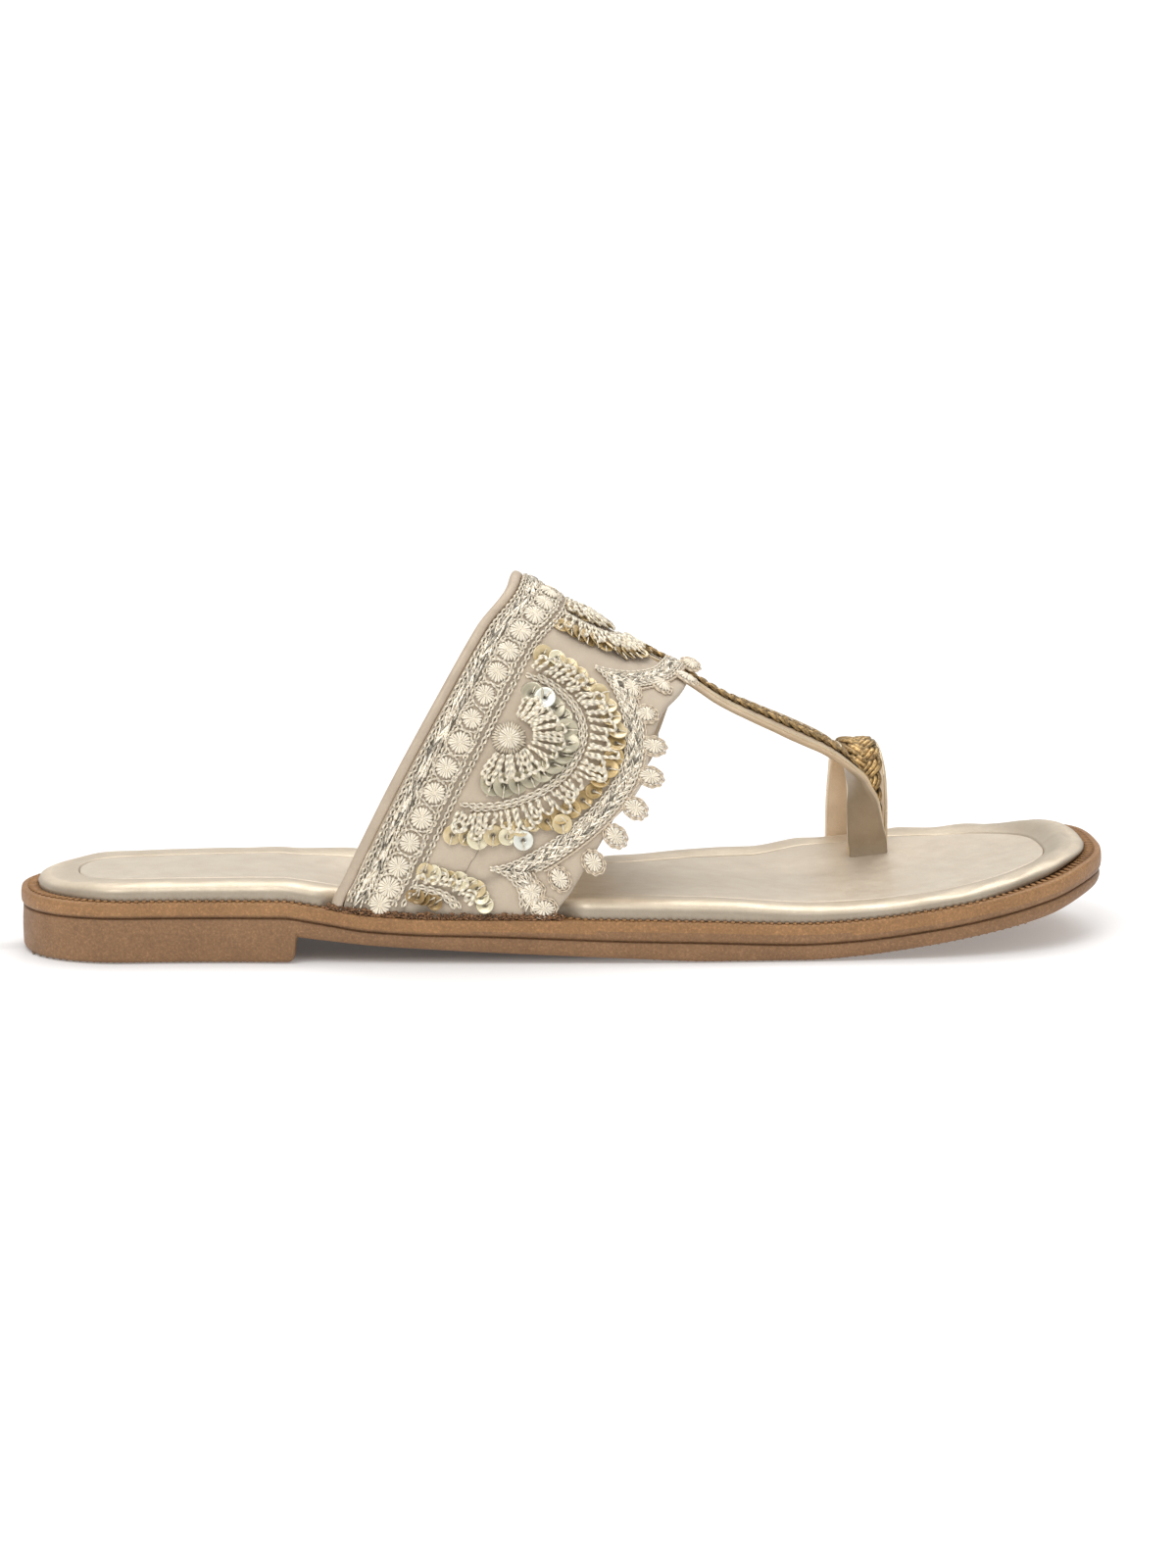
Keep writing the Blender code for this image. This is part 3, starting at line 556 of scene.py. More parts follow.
def insole_top(x, y):
    """Top of the footbed; it is drawn up a little where the toe loop's far foot passes its edge."""
    swell = smooth((x - 46) / 16) * smooth((97 - x) / 20) * smooth((y - 6) / 28)
    return welt_top(x, y) + read(RIM, x) + 1.6 * swell


def slot_dip(x, y):
    """The footbed is drawn down a little where the straps enter it."""
    dx = np.maximum(np.abs(x - SLOT_X) - 4, 0)
    dy = np.maximum(np.abs(y - (POST_Y + LEG_Y) / 2) - 1.6, 0)
    return 0.25 * np.exp(-(dx * dx + dy * dy) / 5)


# the rim's section: how far in from its foot, and how high as a share of its whole height
RIM_SECTION = [(0.14, 0), (0.1, 0.04), (0.06, 0.1), (0.02, 0.21), (0, 0.34), (0.03, 0.46), (0.16, 0.58),
               (0.42, 0.69), (0.8, 0.785), (1.28, 0.865), (1.85, 0.925), (2.5, 0.968), (3.2, 0.992), (4, 1),
               (4.9, 1), (5.8, 0.992), (6.7, 0.98), (7.5, 0.965), (8.2, 0.95), (8.8, 0.935), (9.1, 0.9)]
# its painted light and shade, darker low on the rounded side and a painted highlight on the shoulder: by height on the
# rounded side, then by 1 + inset on the flat part
RIM_PAINTED_LIGHT = ([0, 0.12, 0.45, 0.62, 0.8, 0.97, 4.5, 6.5, 10],
            [0.6, 0.62, 0.68, 0.84, 1.14, 1.2, 1.06, 0.98, 0.96])


def make_insole():
    edge_base, seam_base = insole_inset(EDGE_X, EDGE_Y), seam_inset()
    s = arc_length(EDGE)
    top = welt_top(EDGE_X, EDGE_Y)
    rim = insole_top(EDGE_X, EDGE_Y) - top
    front = smooth((EDGE_X - 62) / 20)
    patch = np.maximum(0, wave(s * 0.11, s * 0.043, 0.2, 2)) * 2.2
    pleats = np.sin(s * 2 * PI / 1.5 + 0.9 * np.sin(s * 0.37)) * (0.35 + 0.65 * front + patch)
    rings, light = [], []
    for a, share in RIM_SECTION:
        crest = math.exp(-((a - 2.6) / 2.4) ** 2) if share > 0.4 else 0
        sway = 0.16 * wave(s * 0.42, a * 0.9, 0.4, 1.3) * crest * (0.5 + front)
        push = 0.1 * math.exp(-((share - 0.22) / 0.2) ** 2) * pleats
        loop = inset(edge_base + (seam_base - edge_base) * smooth(a / 9) + a + push)
        lower = 1 - smooth((a - 4.6) / 4.4)
        here = welt_top(*loop.T)
        z = (top + GAP * 0.2 + (rim - GAP * 0.2) * share) * lower \
            + (here + (insole_top(*loop.T) - here) * share) * (1 - lower) + sway
        rings.append(raised(loop, z - slot_dip(*loop.T) * share))
        # painted shade low on the rim and painted highlight on its shoulder, dimmed towards the toe
        light.append(np.interp(share if a < 3 else 1 + a, *RIM_PAINTED_LIGHT) * (1 - 0.13 * smooth((EDGE_X - 92) / 14)))
    for a, drop in ((9.25, 1.25), (9.45, 1.3)):
        loop = inset(seam_base + a)
        rings.append(raised(loop, insole_top(*loop.T) - drop))
    body = ring_mesh("insole_rim", rings, lambda x, y: insole_top(x, y) - 1.3, lambda x, y: welt_top(x, y) + 0.06,
                     8, RIM_GOLD)
    rest = np.full(len(body.data.vertices) - len(light) * COUNT, 0.7)
    add_tone(body, np.concatenate(light + [rest]))
    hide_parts("insole")


def make_sock():
    def height(x, y, drop):
        return insole_top(x, y) - drop - slot_dip(x, y) + 0.05 * wave(x * 0.1, y * 0.16, 0.2, 2.2)

    base = seam_inset() + SOCK_INSET + GAP * 0.5
    rings = []
    for a, drop in ((0.2, 1), (-0.08, 0.8), (-0.1, 0.58), (-0.02, 0.44), (0.16, 0.35), (0.5, 0.3),
                    (1.2, 0.3), (3, 0.34)):
        loop = inset(base + a)
        rings.append(raised(loop, height(*loop.T, drop)))
    body = ring_mesh("sock_top", rings, lambda x, y: height(x, y, 0.34), lambda x, y: insole_top(x, y) - 1,
                     34, SOCK_GOLD)
    # painted shade: the footbed is darker where it dips at the strap slot
    add_tone(body, lambda p: 1 - 0.35 * slot_dip(p[:, 0], p[:, 1]))
    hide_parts("sock_panel")


# ---- vamp shell and binding ----
GIRTH_V = np.linspace(-1, 1, 261)


def vamp_start():
    """u where the cloth begins, next to the binding, and the vamp's length, both along GIRTH_V."""
    length = np.linalg.norm(surface(GIRTH_V, 1) - surface(GIRTH_V, 0), axis=-1)
    return 2.7 / length, length


def make_vamp():
    start, length = vamp_start()
    tip = 1 / length
    flat = [start + (1 - 0.8 * tip - start) * t for t in np.linspace(0, 1, 64)]
    edge = ((0.35, -0.12), (0.08, -0.5), (0, -1.1), (0.08, -1.7), (0.35, -2.08))
    back = [start + (1 - 0.8 * tip - start) * t for t in np.linspace(1, 0, 30)]
    u = np.stack(flat + [1 - du * tip for du, h in edge] + back)
    v = np.broadcast_to(GIRTH_V, u.shape)
    h = np.array([0] * len(flat) + [h for du, h in edge] + [-WALL] * len(back))[:, None]
    soft = 0.14 * wave(v * 16, u * 7, 0.3, 0.7) + 0.07 * wave(v * 37, u * 16, 1.1, 2.9)
    seam = np.exp(-(((u - 0.55 - 0.35 * (v + 0.93) / 0.12) / 0.05) ** 2)) * smooth((v + 1) / 0.02) \
        * smooth((-0.86 - v) / 0.02)
    pts = lifted(v, u, h + soft * smooth((1 - u) * 8) - 0.18 * seam)
    # painted shade: darker along the foot where the cloth meets the sole, at the turned front edge, and in the seam's
    # groove
    foot = 1 - 0.3 * np.exp(-((1 - np.abs(v)) / 0.018) ** 2)
    rim = 1 - 0.18 * np.exp(-((u - 1) / 0.03) ** 2)
    obj = mesh_object("vamp_cloth", pts, grid_faces(*u.shape, wrap_cols=False, wrap_rows=True), FABRIC,
                      (foot * rim - 0.25 * seam).ravel())
    obj.data.materials.append(LINING)
    row = np.repeat(np.arange(len(u)), u.shape[1] - 1)
    obj.data.polygons.foreach_set("material_index", (row >= len(flat) + 4).astype(np.int32))
    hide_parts("upper")


def make_binding():
    section = np.array([(2.45, -2.25), (2.2, -2.42), (1.4, -2.45), (0.6, -2.38), (0.14, -2.05), (-0.06, -1.5),
                        (-0.1, -0.9), (-0.04, -0.3), (0.16, 0.12), (0.5, 0.38), (1, 0.5), (1.55, 0.5),
                        (2.05, 0.38), (2.36, 0.12), (2.48, -0.4)])
    u = section[:, :1] / vamp_start()[1]
    v, h = np.broadcast_arrays(GIRTH_V, section[:, 1:])
    crease = 0.05 * wave(v * 60, h * 1.3, 0.4, 1.9)
    obj = mesh_object("back_binding", lifted(v, u, h + crease * (h > -1.5)),
                      grid_faces(*u.shape, wrap_cols=False, wrap_rows=True), BINDING, 0.95)
    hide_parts("vamp_binding")


# ---- swept bands and cords ----
class Batch:
    """Gathers many small pieces into one mesh."""

    def __init__(self):
        self.verts, self.faces, self.tones, self.total = [], [], [], 0

    def add(self, verts, faces, tones):
        verts = np.asarray(verts).reshape(-1, 3)
        self.verts.append(verts)
        self.faces.append(np.asarray(faces) + self.total)
        self.tones.append(np.broadcast_to(tones, (len(verts),)))
        self.total += len(verts)

    def arrays(self):
        return [np.concatenate(k) for k in (self.verts, self.faces, self.tones)]

    def build(self, name, mat, slot="zari_thread", stands_for=None):
        verts, faces, tones = self.arrays()
        obj = mesh_object(name, verts, faces, mat, tones, turn_outward=False)
        if stands_for:
            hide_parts(stands_for)


def direction(pts):
    return unit(np.concatenate([pts[1:2] - pts[:1], pts[2:] - pts[:-2], pts[-1:] - pts[-2:-1]]))


def column(values, count):
    return np.broadcast_to(values, (count,)).astype(float)[:, None]


def tube(batch, pts, normal, wide, high, sides=6, twist=None, lobes=0, tones=1, taper=True):
    """A cord along pts: elliptic section, optionally with two lobes that turn along it."""
    d = direction(pts)
    side = unit(np.cross(normal, d))
    up = np.cross(d, side)
    n = len(pts)
    wide, high = column(wide, n), column(high, n)
    if taper:
        wide[[0, -1]] *= 0.15
        high[[0, -1]] *= 0.15
    a = np.arange(sides) * 2 * PI / sides
    r = lobe_shade = np.ones((n, sides))
    if twist is not None:
        r = 1 - lobes * 0.5 + lobes * np.cos(2 * (a - twist[:, None])) * 0.5
        # painted shade: the grooves between the two lobes are darker
        lobe_shade = 0.66 + 0.34 * smooth((r - 1 + lobes) / max(lobes, 0.3))
    ring = (pts[:, None] + side[:, None] * (wide * np.cos(a) * r)[..., None]
            + up[:, None] * (high * np.sin(a) * r)[..., None])
    batch.add(ring, grid_faces(n, sides), (column(tones, n) * lobe_shade).ravel())


def dense(v, u, spacing):
    """Resamples a path given in v and u at even spacing in millimetres on the vamp."""
    fine = np.linspace(0, len(v) - 1, (len(v) - 1) * 12 + 1)
    v, u = [np.interp(fine, np.arange(len(k)), k) for k in (v, u)]
    s = arc_length(surface(v, u))
    at = np.linspace(0, s[-1], max(3, int(round(s[-1] / spacing)) + 1))
    return np.interp(at, s, v), np.interp(at, s, u), at


def path_frame(v, u):
    """Points, tangents, across and normals of a path on the vamp."""
    p = surface(v, u)
    n = tangents(v, u)[2]
    t = direction(p)
    return p, t, unit(np.cross(n, t)), n


def moved(v, u, step):
    """v and u after a step in millimetres along the surface from (v, u)."""
    tv, tu, n = tangents(v, u)
    e1 = unit(tv)
    e2 = np.cross(n, e1)
    m11, m12, w1 = [(k * e1).sum(-1) for k in (tv, tu, step)]
    m21, m22, w2 = [(k * e2).sum(-1) for k in (tv, tu, step)]
    det = m11 * m22 - m12 * m21
    return v + (w1 * m22 - m12 * w2) / det, u + (m11 * w2 - m21 * w1) / det


def facing(v0, u0, phi):
    """Unit vectors across, ahead and out of the surface, heading phi from the girth direction."""
    tv, tu, n = tangents(v0, u0)
    e1 = unit(tv)
    ahead = math.cos(phi) * e1 + math.sin(phi) * np.cross(n, e1)
    return np.cross(ahead, n), ahead, n


def local_vu(v0, u0, phi, a, b):
    """v and u of points a across and b ahead (mm) of (v0, u0), heading phi."""
    across, ahead, n = facing(v0, u0, phi)
    return moved(v0, u0, np.multiply.outer(a, across) + np.multiply.outer(b, ahead))


def cord(batch, v, u, width, lift, pitch=1.7, step=0.3, sides=7, rough=0.12, knot=0.2):
    """Twisted two-strand cord laid on the vamp."""
    v, u, s = dense(v, u, step)
    p, t, b, n = path_frame(v, u)
    turn = s * PI / pitch + RNG.uniform(0, 3)
    wobble = (rough * wave(s * 1.9, RNG.uniform(0, 9)))[:, None]
    knots = knot * np.sin(s * 2 * PI / (pitch * 0.9) + RNG.uniform(0, 6))
    swell = width * (1 + 0.6 * knots)
    # painted highlight: the cord is lighter where its knots swell, with some random tone
    tube(batch, p + n * (lift + width * 0.42 + 0.5 * wobble) + b * wobble, n, 0.5 * swell, 0.48 * swell, sides,
         turn, 0.34, 1 + knots + RNG.uniform(-0.12, 0.1))


def plait_on(batch, p, b, n, s, width, lift, pitch, thick, gain):
    """Flat plait of three strands, each of three threads side by side, that cross over and under."""
    width = column(width, len(s))[:, 0]
    wide = width * 0.22 / 3 * 1.12
    for i in range(3):
        th = 2 * PI * (s / pitch + i / 3)
        over = np.sin(2 * th)
        centre = p + b * (width * 0.31 * np.sin(th))[:, None] + n * (lift + thick * (1.15 + 0.75 * over))[:, None]
        aside = unit(np.cross(n, direction(centre)))
        for k in range(3):
            place = k - 1
            # painted shade: each strand darker where it passes under the others, and its side threads darker than the
            # middle one
            tones = (0.5 + 0.42 * over + 0.16 * np.sin(s * 1.9 + k * 2.1 + i)) * (1.15 - 0.25 * abs(place))
            tube(batch, centre + aside * (place * 1.72 * wide)[:, None] - n * 0.1 * abs(place), n, wide, thick,
                 tones=tones * gain * RNG.uniform(0.85, 1.12))


# ---- T-strap and toe loop ----
def strap_rows():
    """The T-strap's path from under the vamp to the slot, with the direction of its edge at each point."""
    floor = welt_top(SLOT_X + 4.7, LEG_Y) + 0.6
    start = [(lifted(0, u, -1.1), (0, -1, 0)) for u in (0.72, 0.94)]
    return start + [((37.5, 5.4, 54.2), (0, -1, -0.14)), ((45.5, 7.8, 50.3), (0, -1, -0.24)),
                    ((55, 11.4, 45.7), (0.04, -1, -0.34)), ((63, 14.8, 41.6), (0.15, -1, -0.39)),
                    ((68.6, 17, 37), (0.35, -1, -0.5)), ((71.2, 17.9, 31.5), (0.55, -0.75, -0.35)),
                    ((72.4, 18.7, 26), (0.85, -0.45, -0.15)), ((73.3, 20.2, 21), (0.95, -0.22, 0)),
                    ((SLOT_X, POST_Y, 16.5), (1, 0, 0)), ((SLOT_X, POST_Y, floor), (1, 0, 0))]


def loop_rows():
    """The toe loop's path from the slot over the big toe to the footbed's edge."""
    floor = welt_top(SLOT_X + 4.7, LEG_Y) + 0.6
    foot_y = float(half_width(72, 1)) - VAMP_INSET - 1.1
    foot_z = welt_top(76.7, foot_y) + 0.6
    return [((x, y, z), (1, turn, 0)) for x, y, z, turn in [
        (SLOT_X, LEG_Y, floor, 0), (SLOT_X, LEG_Y, 19, 0), (SLOT_X, LEG_Y + 0.2, 27, 0),
        (74.2, 25.4, 32.8, 0), (73.6, 28.9, 37, 0.03), (73, 34, 38.4, 0.05), (72.5, 39.6, 36.2, 0.03),
        (72.5, 43, 30.5, 0), (72.1, foot_y, 23, 0), (72, foot_y, foot_z, 0)]]


def spline(rows):
    """Catmull-Rom curve with edge directions; the same curve as the solids follow."""
    p, w = [np.array([row[k] for row in rows], float) for k in (0, 1)]
    p = np.concatenate([p[:1], p, p[-1:]])
    t = (np.arange(18) / 18)[:, None]
    pts = [0.5 * (2 * p1 + (p2 - p0) * t + (2 * p0 - 5 * p1 + 4 * p2 - p3) * t * t
                  + (3 * p1 - p0 - 3 * p2 + p3) * t ** 3) for p0, p1, p2, p3 in zip(p, p[1:], p[2:], p[3:])]
    edges = [a * (1 - smooth(t)) + b * smooth(t) for a, b in zip(w, w[1:])]
    return np.concatenate(pts + [p[-1:]]), np.concatenate(edges + [w[-1:]])


def band_frame(rows):
    """Points, across, normals and lengths along a band, every half millimetre."""
    pts, edges = spline(rows)
    s = arc_length(pts)
    at = np.arange(0, s[-1], 0.5)
    pts, edges = along(at, s, pts), along(at, s, edges)
    for _ in range(6):
        edges[1:-1] = (edges[:-2] + 2 * edges[1:-1] + edges[2:]) / 4
    d = direction(pts)
    across = unit(edges - d * (edges * d).sum(1, keepdims=True))
    return pts, across, np.cross(across, d), at


def band(name, frame_, section, tones, far=1):
    """Closed band of strap leather: section gives (across, out) points; far scales its far half."""
    pts, across, normal, s = frame_
    n, k = len(pts), len(section)
    ripple = 0.03 * wave(s[:, None] * 0.9, np.arange(k) * 0.8, 0.3, 1.4)
    wide = np.where(section[:, 0] < 0, section[:, 0] * column(far, n), section[:, 0])
    ring = pts[:, None] + across[:, None] * wide[..., None] + normal[:, None] * (section[:, 1] + ripple)[..., None]
    faces = grid_faces(n, k).tolist() + [list(range(k))[::-1], [(n - 1) * k + i for i in range(k)]]
    obj = mesh_object(name, ring, faces, STRAP_GOLD, np.broadcast_to(tones, (n, k)).ravel())
    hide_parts("upper")


def leather_section(half, thick, bead):
    """Flat band with rounded, slightly raised folded edges."""
    t = thick / 2
    right = [(half - 1.7, t), (half - 1.25, t + bead * 0.7), (half - 0.75, t + bead), (half - 0.25, t + bead * 0.45),
             (half, t * 0.35), (half, -t * 0.35), (half - 0.25, -t * 0.85), (half - 0.8, -t)]
    return np.array(right + [(0, -t)] + [(-a, b) for a, b in right[::-1]] + [(0, t)])


FAR_SIDE = [(10, 1), (18, 1), (21, 0.89), (26, 0.8), (31.5, 0.67), (37, 0.8), (42, 0.95), (46, 1)]


def make_straps():
    strap, loop = band_frame(strap_rows()), band_frame(loop_rows())
    section = leather_section(STRAP_HALF, STRAP_THICK, 0.12)
    x, y, z = strap[0].T
    down = (smooth((39 - z) / 4) * (x > 60))[:, None]
    far = np.where(x > 58, read(FAR_SIDE, z), 1)
    streak = 1 + 0.05 * wave(np.arange(len(section)) * 1.7, strap[3][:, None] * 0.1, 0.3, 1)
    # painted light and shade: the strap's top face lighter than its sides and underside, and the strap darker low down
    # by the post
    tones = np.where(section[:, 1] < 0.3, 1.05 - 0.37 * down, 1.36 - 0.15 * down) * streak
    band("strap_leather", strap, section, tones, far)
    band("loop_leather", loop, leather_section(LOOP_HALF, LOOP_THICK, 0.1), 1.38)
    edges = Batch()
    for (pts, across, normal, s), half, thick, scale in ((strap, STRAP_HALF, STRAP_THICK, far),
                                                         (loop, LOOP_HALF, LOOP_THICK, 1)):
        for side, reach in ((-1, scale), (1, 1)):
            line = pts + across * column(side * (half - 0.4) * reach, len(s)) + normal * (thick / 2 - 0.16)
            tube(edges, line, normal, 0.46, 0.4, 10, tones=1 + 0.04 * np.sin(s * 0.8))
    edges.build("strap_edges", EDGE_GOLD, "footbed_leather")
    # the braid begins under the lace and ends where it dives behind the post
    on_strap, on_loop = Batch(), Batch()
    inside = np.nonzero((x > 27) & (z > 22.5))[0]
    p, b, n, s = [k[inside[0]:inside[-1]] for k in strap]
    near = b * (0.5 * smooth((p[:, :1] - 54) / 10) - 0.4)
    plait_on(on_strap, p + near, b, n, s, 4.4, 0.98, 8.8, 0.36, 0.8)
    u = np.linspace(0.72, 0.92, 60)
    p, t, b, n = path_frame(u * 0, u)
    plait_on(on_strap, p, b, n, arc_length(p), 4.4, 0.65, 7, 0.36, 0.8)
    on_strap.build("braid_strap", BRONZE, "bronze_braid", "strap_braid")
    inside = np.nonzero((loop[0][:, 2] > 19) & (loop[3] < loop[3][-1] - 8))[0]
    p, b, n, s = [k[inside[0]:inside[-1]] for k in loop]
    plait_on(on_loop, p, b, n, s, 6.5 + 1.7 * smooth((p[:, 2] - 31) / 5), 1, 10.2, 0.5, 0.94)
    on_loop.build("braid_loop", BRONZE, "bronze_braid", "loop_braid")


# ---- camera, light and floor ----
AZIMUTH, ELEVATION = math.radians(-5), math.radians(10.5)
DISTANCE, LENS = 1.3, 128.93
AIM_RIGHT, AIM_UP = 0.0061, 0.0352   # metres from the maker's origin, in the picture's plane
GLOW = 0.24


def make_camera():
    back = np.array([math.sin(AZIMUTH) * math.cos(ELEVATION), -math.cos(AZIMUTH) * math.cos(ELEVATION),
                     math.sin(ELEVATION)])
    right = unit(np.cross([0, 0, 1], back))
    origin = -CENTRE * MM
    place = origin + back * DISTANCE
    target = origin + right * AIM_RIGHT + np.cross(back, right) * AIM_UP
    data = bpy.data.cameras.new("camera")
    data.sensor_fit = "AUTO"
    data.sensor_width = 36
    data.lens = LENS
    data.clip_start, data.clip_end = 0.05, 20
    cam = add_object("camera", data)
    cam.location = Vector(place)
    cam.rotation_euler = Vector(place - target).to_track_quat("Z", "Y").to_euler()
    bpy.context.scene.camera = cam


def sun(name, toward, angle, strength):
    """Soft distant light from the direction toward."""
    data = bpy.data.lights.new(name, "SUN")
    data.angle = math.radians(angle)
    data.energy = strength
    add_object(name, data).rotation_euler = Vector(toward).to_track_quat("Z", "Y").to_euler()


def floor_glow_with_arch_shadow(p):
    """The paper's even glow, faded out in the hollow under the arch as a painted shadow."""
    side = np.where(p[:, 1] < 0, -1, 1)
    beyond = side * p[:, 1] - half_width(np.clip(p[:, 0], HEEL_BACK + 1, TOE_TIP - 1), side)
    return 1 - 0.8 * smooth((30 - p[:, 0]) / 30) * (1 - smooth((beyond + 12) / 12))


def make_stage():
    scene = bpy.context.scene
    scene.view_settings.view_transform = "Standard"
    scene.view_settings.look = "None"
    scene.view_settings.exposure = 0
    world = scene.world = bpy.data.worlds.new("studio")
    world.use_nodes = True
    tree = world.node_tree
    height = node(tree, "SeparateXYZ", {"Vector": node(tree, "TexCoord", {})["Generated"]})["Z"]
    sky = tree.nodes["Background"].inputs
    connect(tree, sky["Color"], ramp(tree, height, [(0, 0.62), (0.12, 0.68), (0.45, 0.82), (0.9, 0.98)]))
    sky["Strength"].default_value = 0.8
    mat, tree, shader = new_material("floor_paper", (0.8, 0.8, 0.8), 0.75, Emission_Color=(1, 0.985, 0.97, 1),
                                     Emission_Strength=GLOW)
    shade = node(tree, "VertexColor", {}, layer_name="tone")["Color"]
    connect(tree, shader.inputs["Emission Strength"], node(tree, "Math", {0: shade, 1: GLOW}, operation="MULTIPLY")[0])
    xs, ys = [np.concatenate([[-15], np.arange(-k, k + 0.001, 0.004), [15]]) for k in (0.17, 0.09)]
    mesh = bpy.data.meshes.new("floor")
    mesh.from_pydata([(x, y, -0.00015) for x in xs for y in ys], [], grid_faces(len(xs), len(ys), wrap_cols=False))
    mesh.materials.append(mat)
    floor = add_object("floor", mesh)
    add_tone(floor, floor_glow_with_arch_shadow)
    sun("key", (-0.45, -0.75, 1.1), 34, 0.9)
    sun("top", (0.25, 0.55, 1.3), 40, 0.9)


# ---- embroidery ----
# arches of the lace from the outer foot to the ridge: v of both cusps, u of the apex
ARCHES = [(-1.32, -0.88, 0.9), (-0.88, -0.27, 0.93), (-0.27, 0.27, 0.86)]
CUSP_U, ARCH_EXP, LACE_U = 0.595, 1.8, 0.076
LOBES = [(-0.972, 0.93), (-0.93, 0.825), (-0.895, 0.915), (-0.84, 1.015), (-0.755, 1.04), (-0.655, 1.06),
         (-0.54, 1.06), (-0.435, 1.015), (-0.335, 0.925), (-0.27, 0.805), (-0.19, 0.895), (-0.1, 0.985),
         (0, 0.985)]
DOTS = [0.065, 0.135, 0.2, 0.268, 0.335, 0.4, 0.465, 0.53, 0.592, 0.655, 0.715, 0.775, 0.832, 0.888, 0.935, 0.975]
DOT_U = 0.205
FOOT = 0.978           # stitches end here, just above the sole


def ridge_rise(v):
    """The lace rides higher over the braid near the ridge."""
    return 0.8 * smooth((0.13 - np.abs(v)) / 0.13 * 2)


def on_foot(v):
    return np.max(np.abs(v)) > FOOT


def plate(name, reach, rows, low, high, mat, rise=None, count=420, tones=0.9):
    """A thin sheet that follows the vamp along rows of u, each a function of v or a number."""
    v = np.linspace(-reach, reach, count)
    u = np.stack([row(v) if callable(row) else v * 0 + row for row in rows])
    k = len(u)
    h = np.repeat([high, low], k)[:, None] + (rise(v) if rise else 0)
    tones = np.broadcast_to(tones, (k,))
    faces = grid_faces(2 * k, count, wrap_cols=False, wrap_rows=True).tolist()
    ends = np.arange(2 * k) * count
    faces += [ends.tolist(), (ends + count - 1)[::-1].tolist()]
    return mesh_object(name, lifted(v, np.concatenate([u, u[::-1]]), h), faces, mat,
                       np.repeat(np.concatenate([tones, tones[::-1]]), count))


def stamp(batch, pts, faces, tones, v0, u0, phi, lift, tilt=0, roll=0):
    """Places a small flat piece: x across, y ahead, z out, in the surface's own plane at (v0, u0)."""
    across, ahead, n = facing(v0, u0, phi)
    ahead2 = ahead * math.cos(tilt) + n * math.sin(tilt)
    across2 = across * math.cos(roll) + np.cross(across, ahead2) * math.sin(roll)
    world = surface(v0, u0) + n * lift + pts @ np.stack([across2, ahead2, np.cross(across2, ahead2)])
    world[:, 2] = np.maximum(world[:, 2], welt_top(world[:, 0], world[:, 1]) + 0.35)
    batch.add(world, faces, tones)


def strokes(batch, at, lengthwise, normal, length, width, height, tones, bow):
    """Many short padded stitches at once: arrays of centres, directions, normals and sizes in mm."""
    n = len(at)
    lengthwise = unit(lengthwise)
    side = unit(np.cross(normal, lengthwise))
    length, width, height, tones, bow = [column(k, n).reshape(n, 1, 1, 1)
                                         for k in (length, width, height, tones, bow)]
    t = np.array([-1, -0.75, -0.3, 0.3, 0.75, 1]).reshape(6, 1, 1)
    fat = np.array([0.3, 0.82, 1, 1, 0.82, 0.3]).reshape(6, 1, 1)
    a = (np.arange(6) * PI / 3).reshape(6, 1)
    at, lengthwise, side, up = [k.reshape(n, 1, 1, 3) for k in (at, lengthwise, side, np.broadcast_to(normal, (n, 3)))]
    pts = at + lengthwise * (t * length / 2) + side * (np.cos(a) * fat * width / 2) \
        + up * (bow * (1 - t * t) + np.sin(a) * fat * height / 2)
    # painted light and shade: each stitch lighter on top, darker at its ends and underside
    shade = tones * (0.62 + 0.38 * fat) * (0.72 + 0.36 * smooth(np.sin(a) + 0.35))
    faces = (grid_faces(6, 6) + 36 * np.arange(n)[:, None, None]).reshape(-1, 4)
    batch.add(pts, faces, shade.ravel())


def stitch_row(batch, frame_, s, width, pitch, slant, lift, thick, contrast, fill):
    """A row of slanted satin stitches along a framed path."""
    count = max(2, int(s[-1] / pitch))
    where = np.clip((np.arange(count) + 0.5) * s[-1] / count + RNG.normal(0, 0.1, count) * pitch, 0, s[-1])
    centre, tan, across, up = [along(where, s, k) for k in frame_]
    lean = (slant + RNG.normal(0, 0.1, count))[:, None]
    reach = width / max(abs(math.sin(slant)), 0.2) * 1.05
    high = (lift + thick * 0.35 + RNG.uniform(-0.06, 0.12, count))[:, None]
    strokes(batch, centre + across * RNG.normal(0, 0.06, (count, 1)) + up * high,
            tan * np.cos(lean) + across * np.sin(lean), up, reach * RNG.uniform(0.85, 1.12, count),
            pitch * fill * RNG.uniform(0.8, 1.2, count), thick,
            np.clip(RNG.normal(1, contrast, count), 0.3, 1.35), 0.22)


def chain_on(batch, frame_, s, width, pitch, lift, size):
    """Chain stitch on a framed path: two threads that open and close along the line."""
    p, t, b, n = frame_
    th = PI * s / pitch + RNG.uniform(0, 3) + 0.45 * wave(s * 0.6, RNG.uniform(0, 9))
    gap = np.abs(np.sin(th)) ** 0.8
    for side in (-1, 1):
        pts = p + b * (side * (gap * (width / 2 - size) + 0.05))[:, None] \
            + n * (lift + size + 0.2 * (1 - gap) * (side > 0))[:, None]
        # painted shade: darker where the two threads close together
        tube(batch, pts, n, size, size, 6, s * PI / 0.8, 0.22,
             (0.78 + 0.42 * gap) * (1 + 0.18 * np.sin(s * 3.7 + side)))


def chain(batch, v, u, width=1.38, pitch=1.85):
    v, u, s = dense(v, u, pitch / 8)
    chain_on(batch, path_frame(v, u), s, width, pitch, 0.12, 0.31)


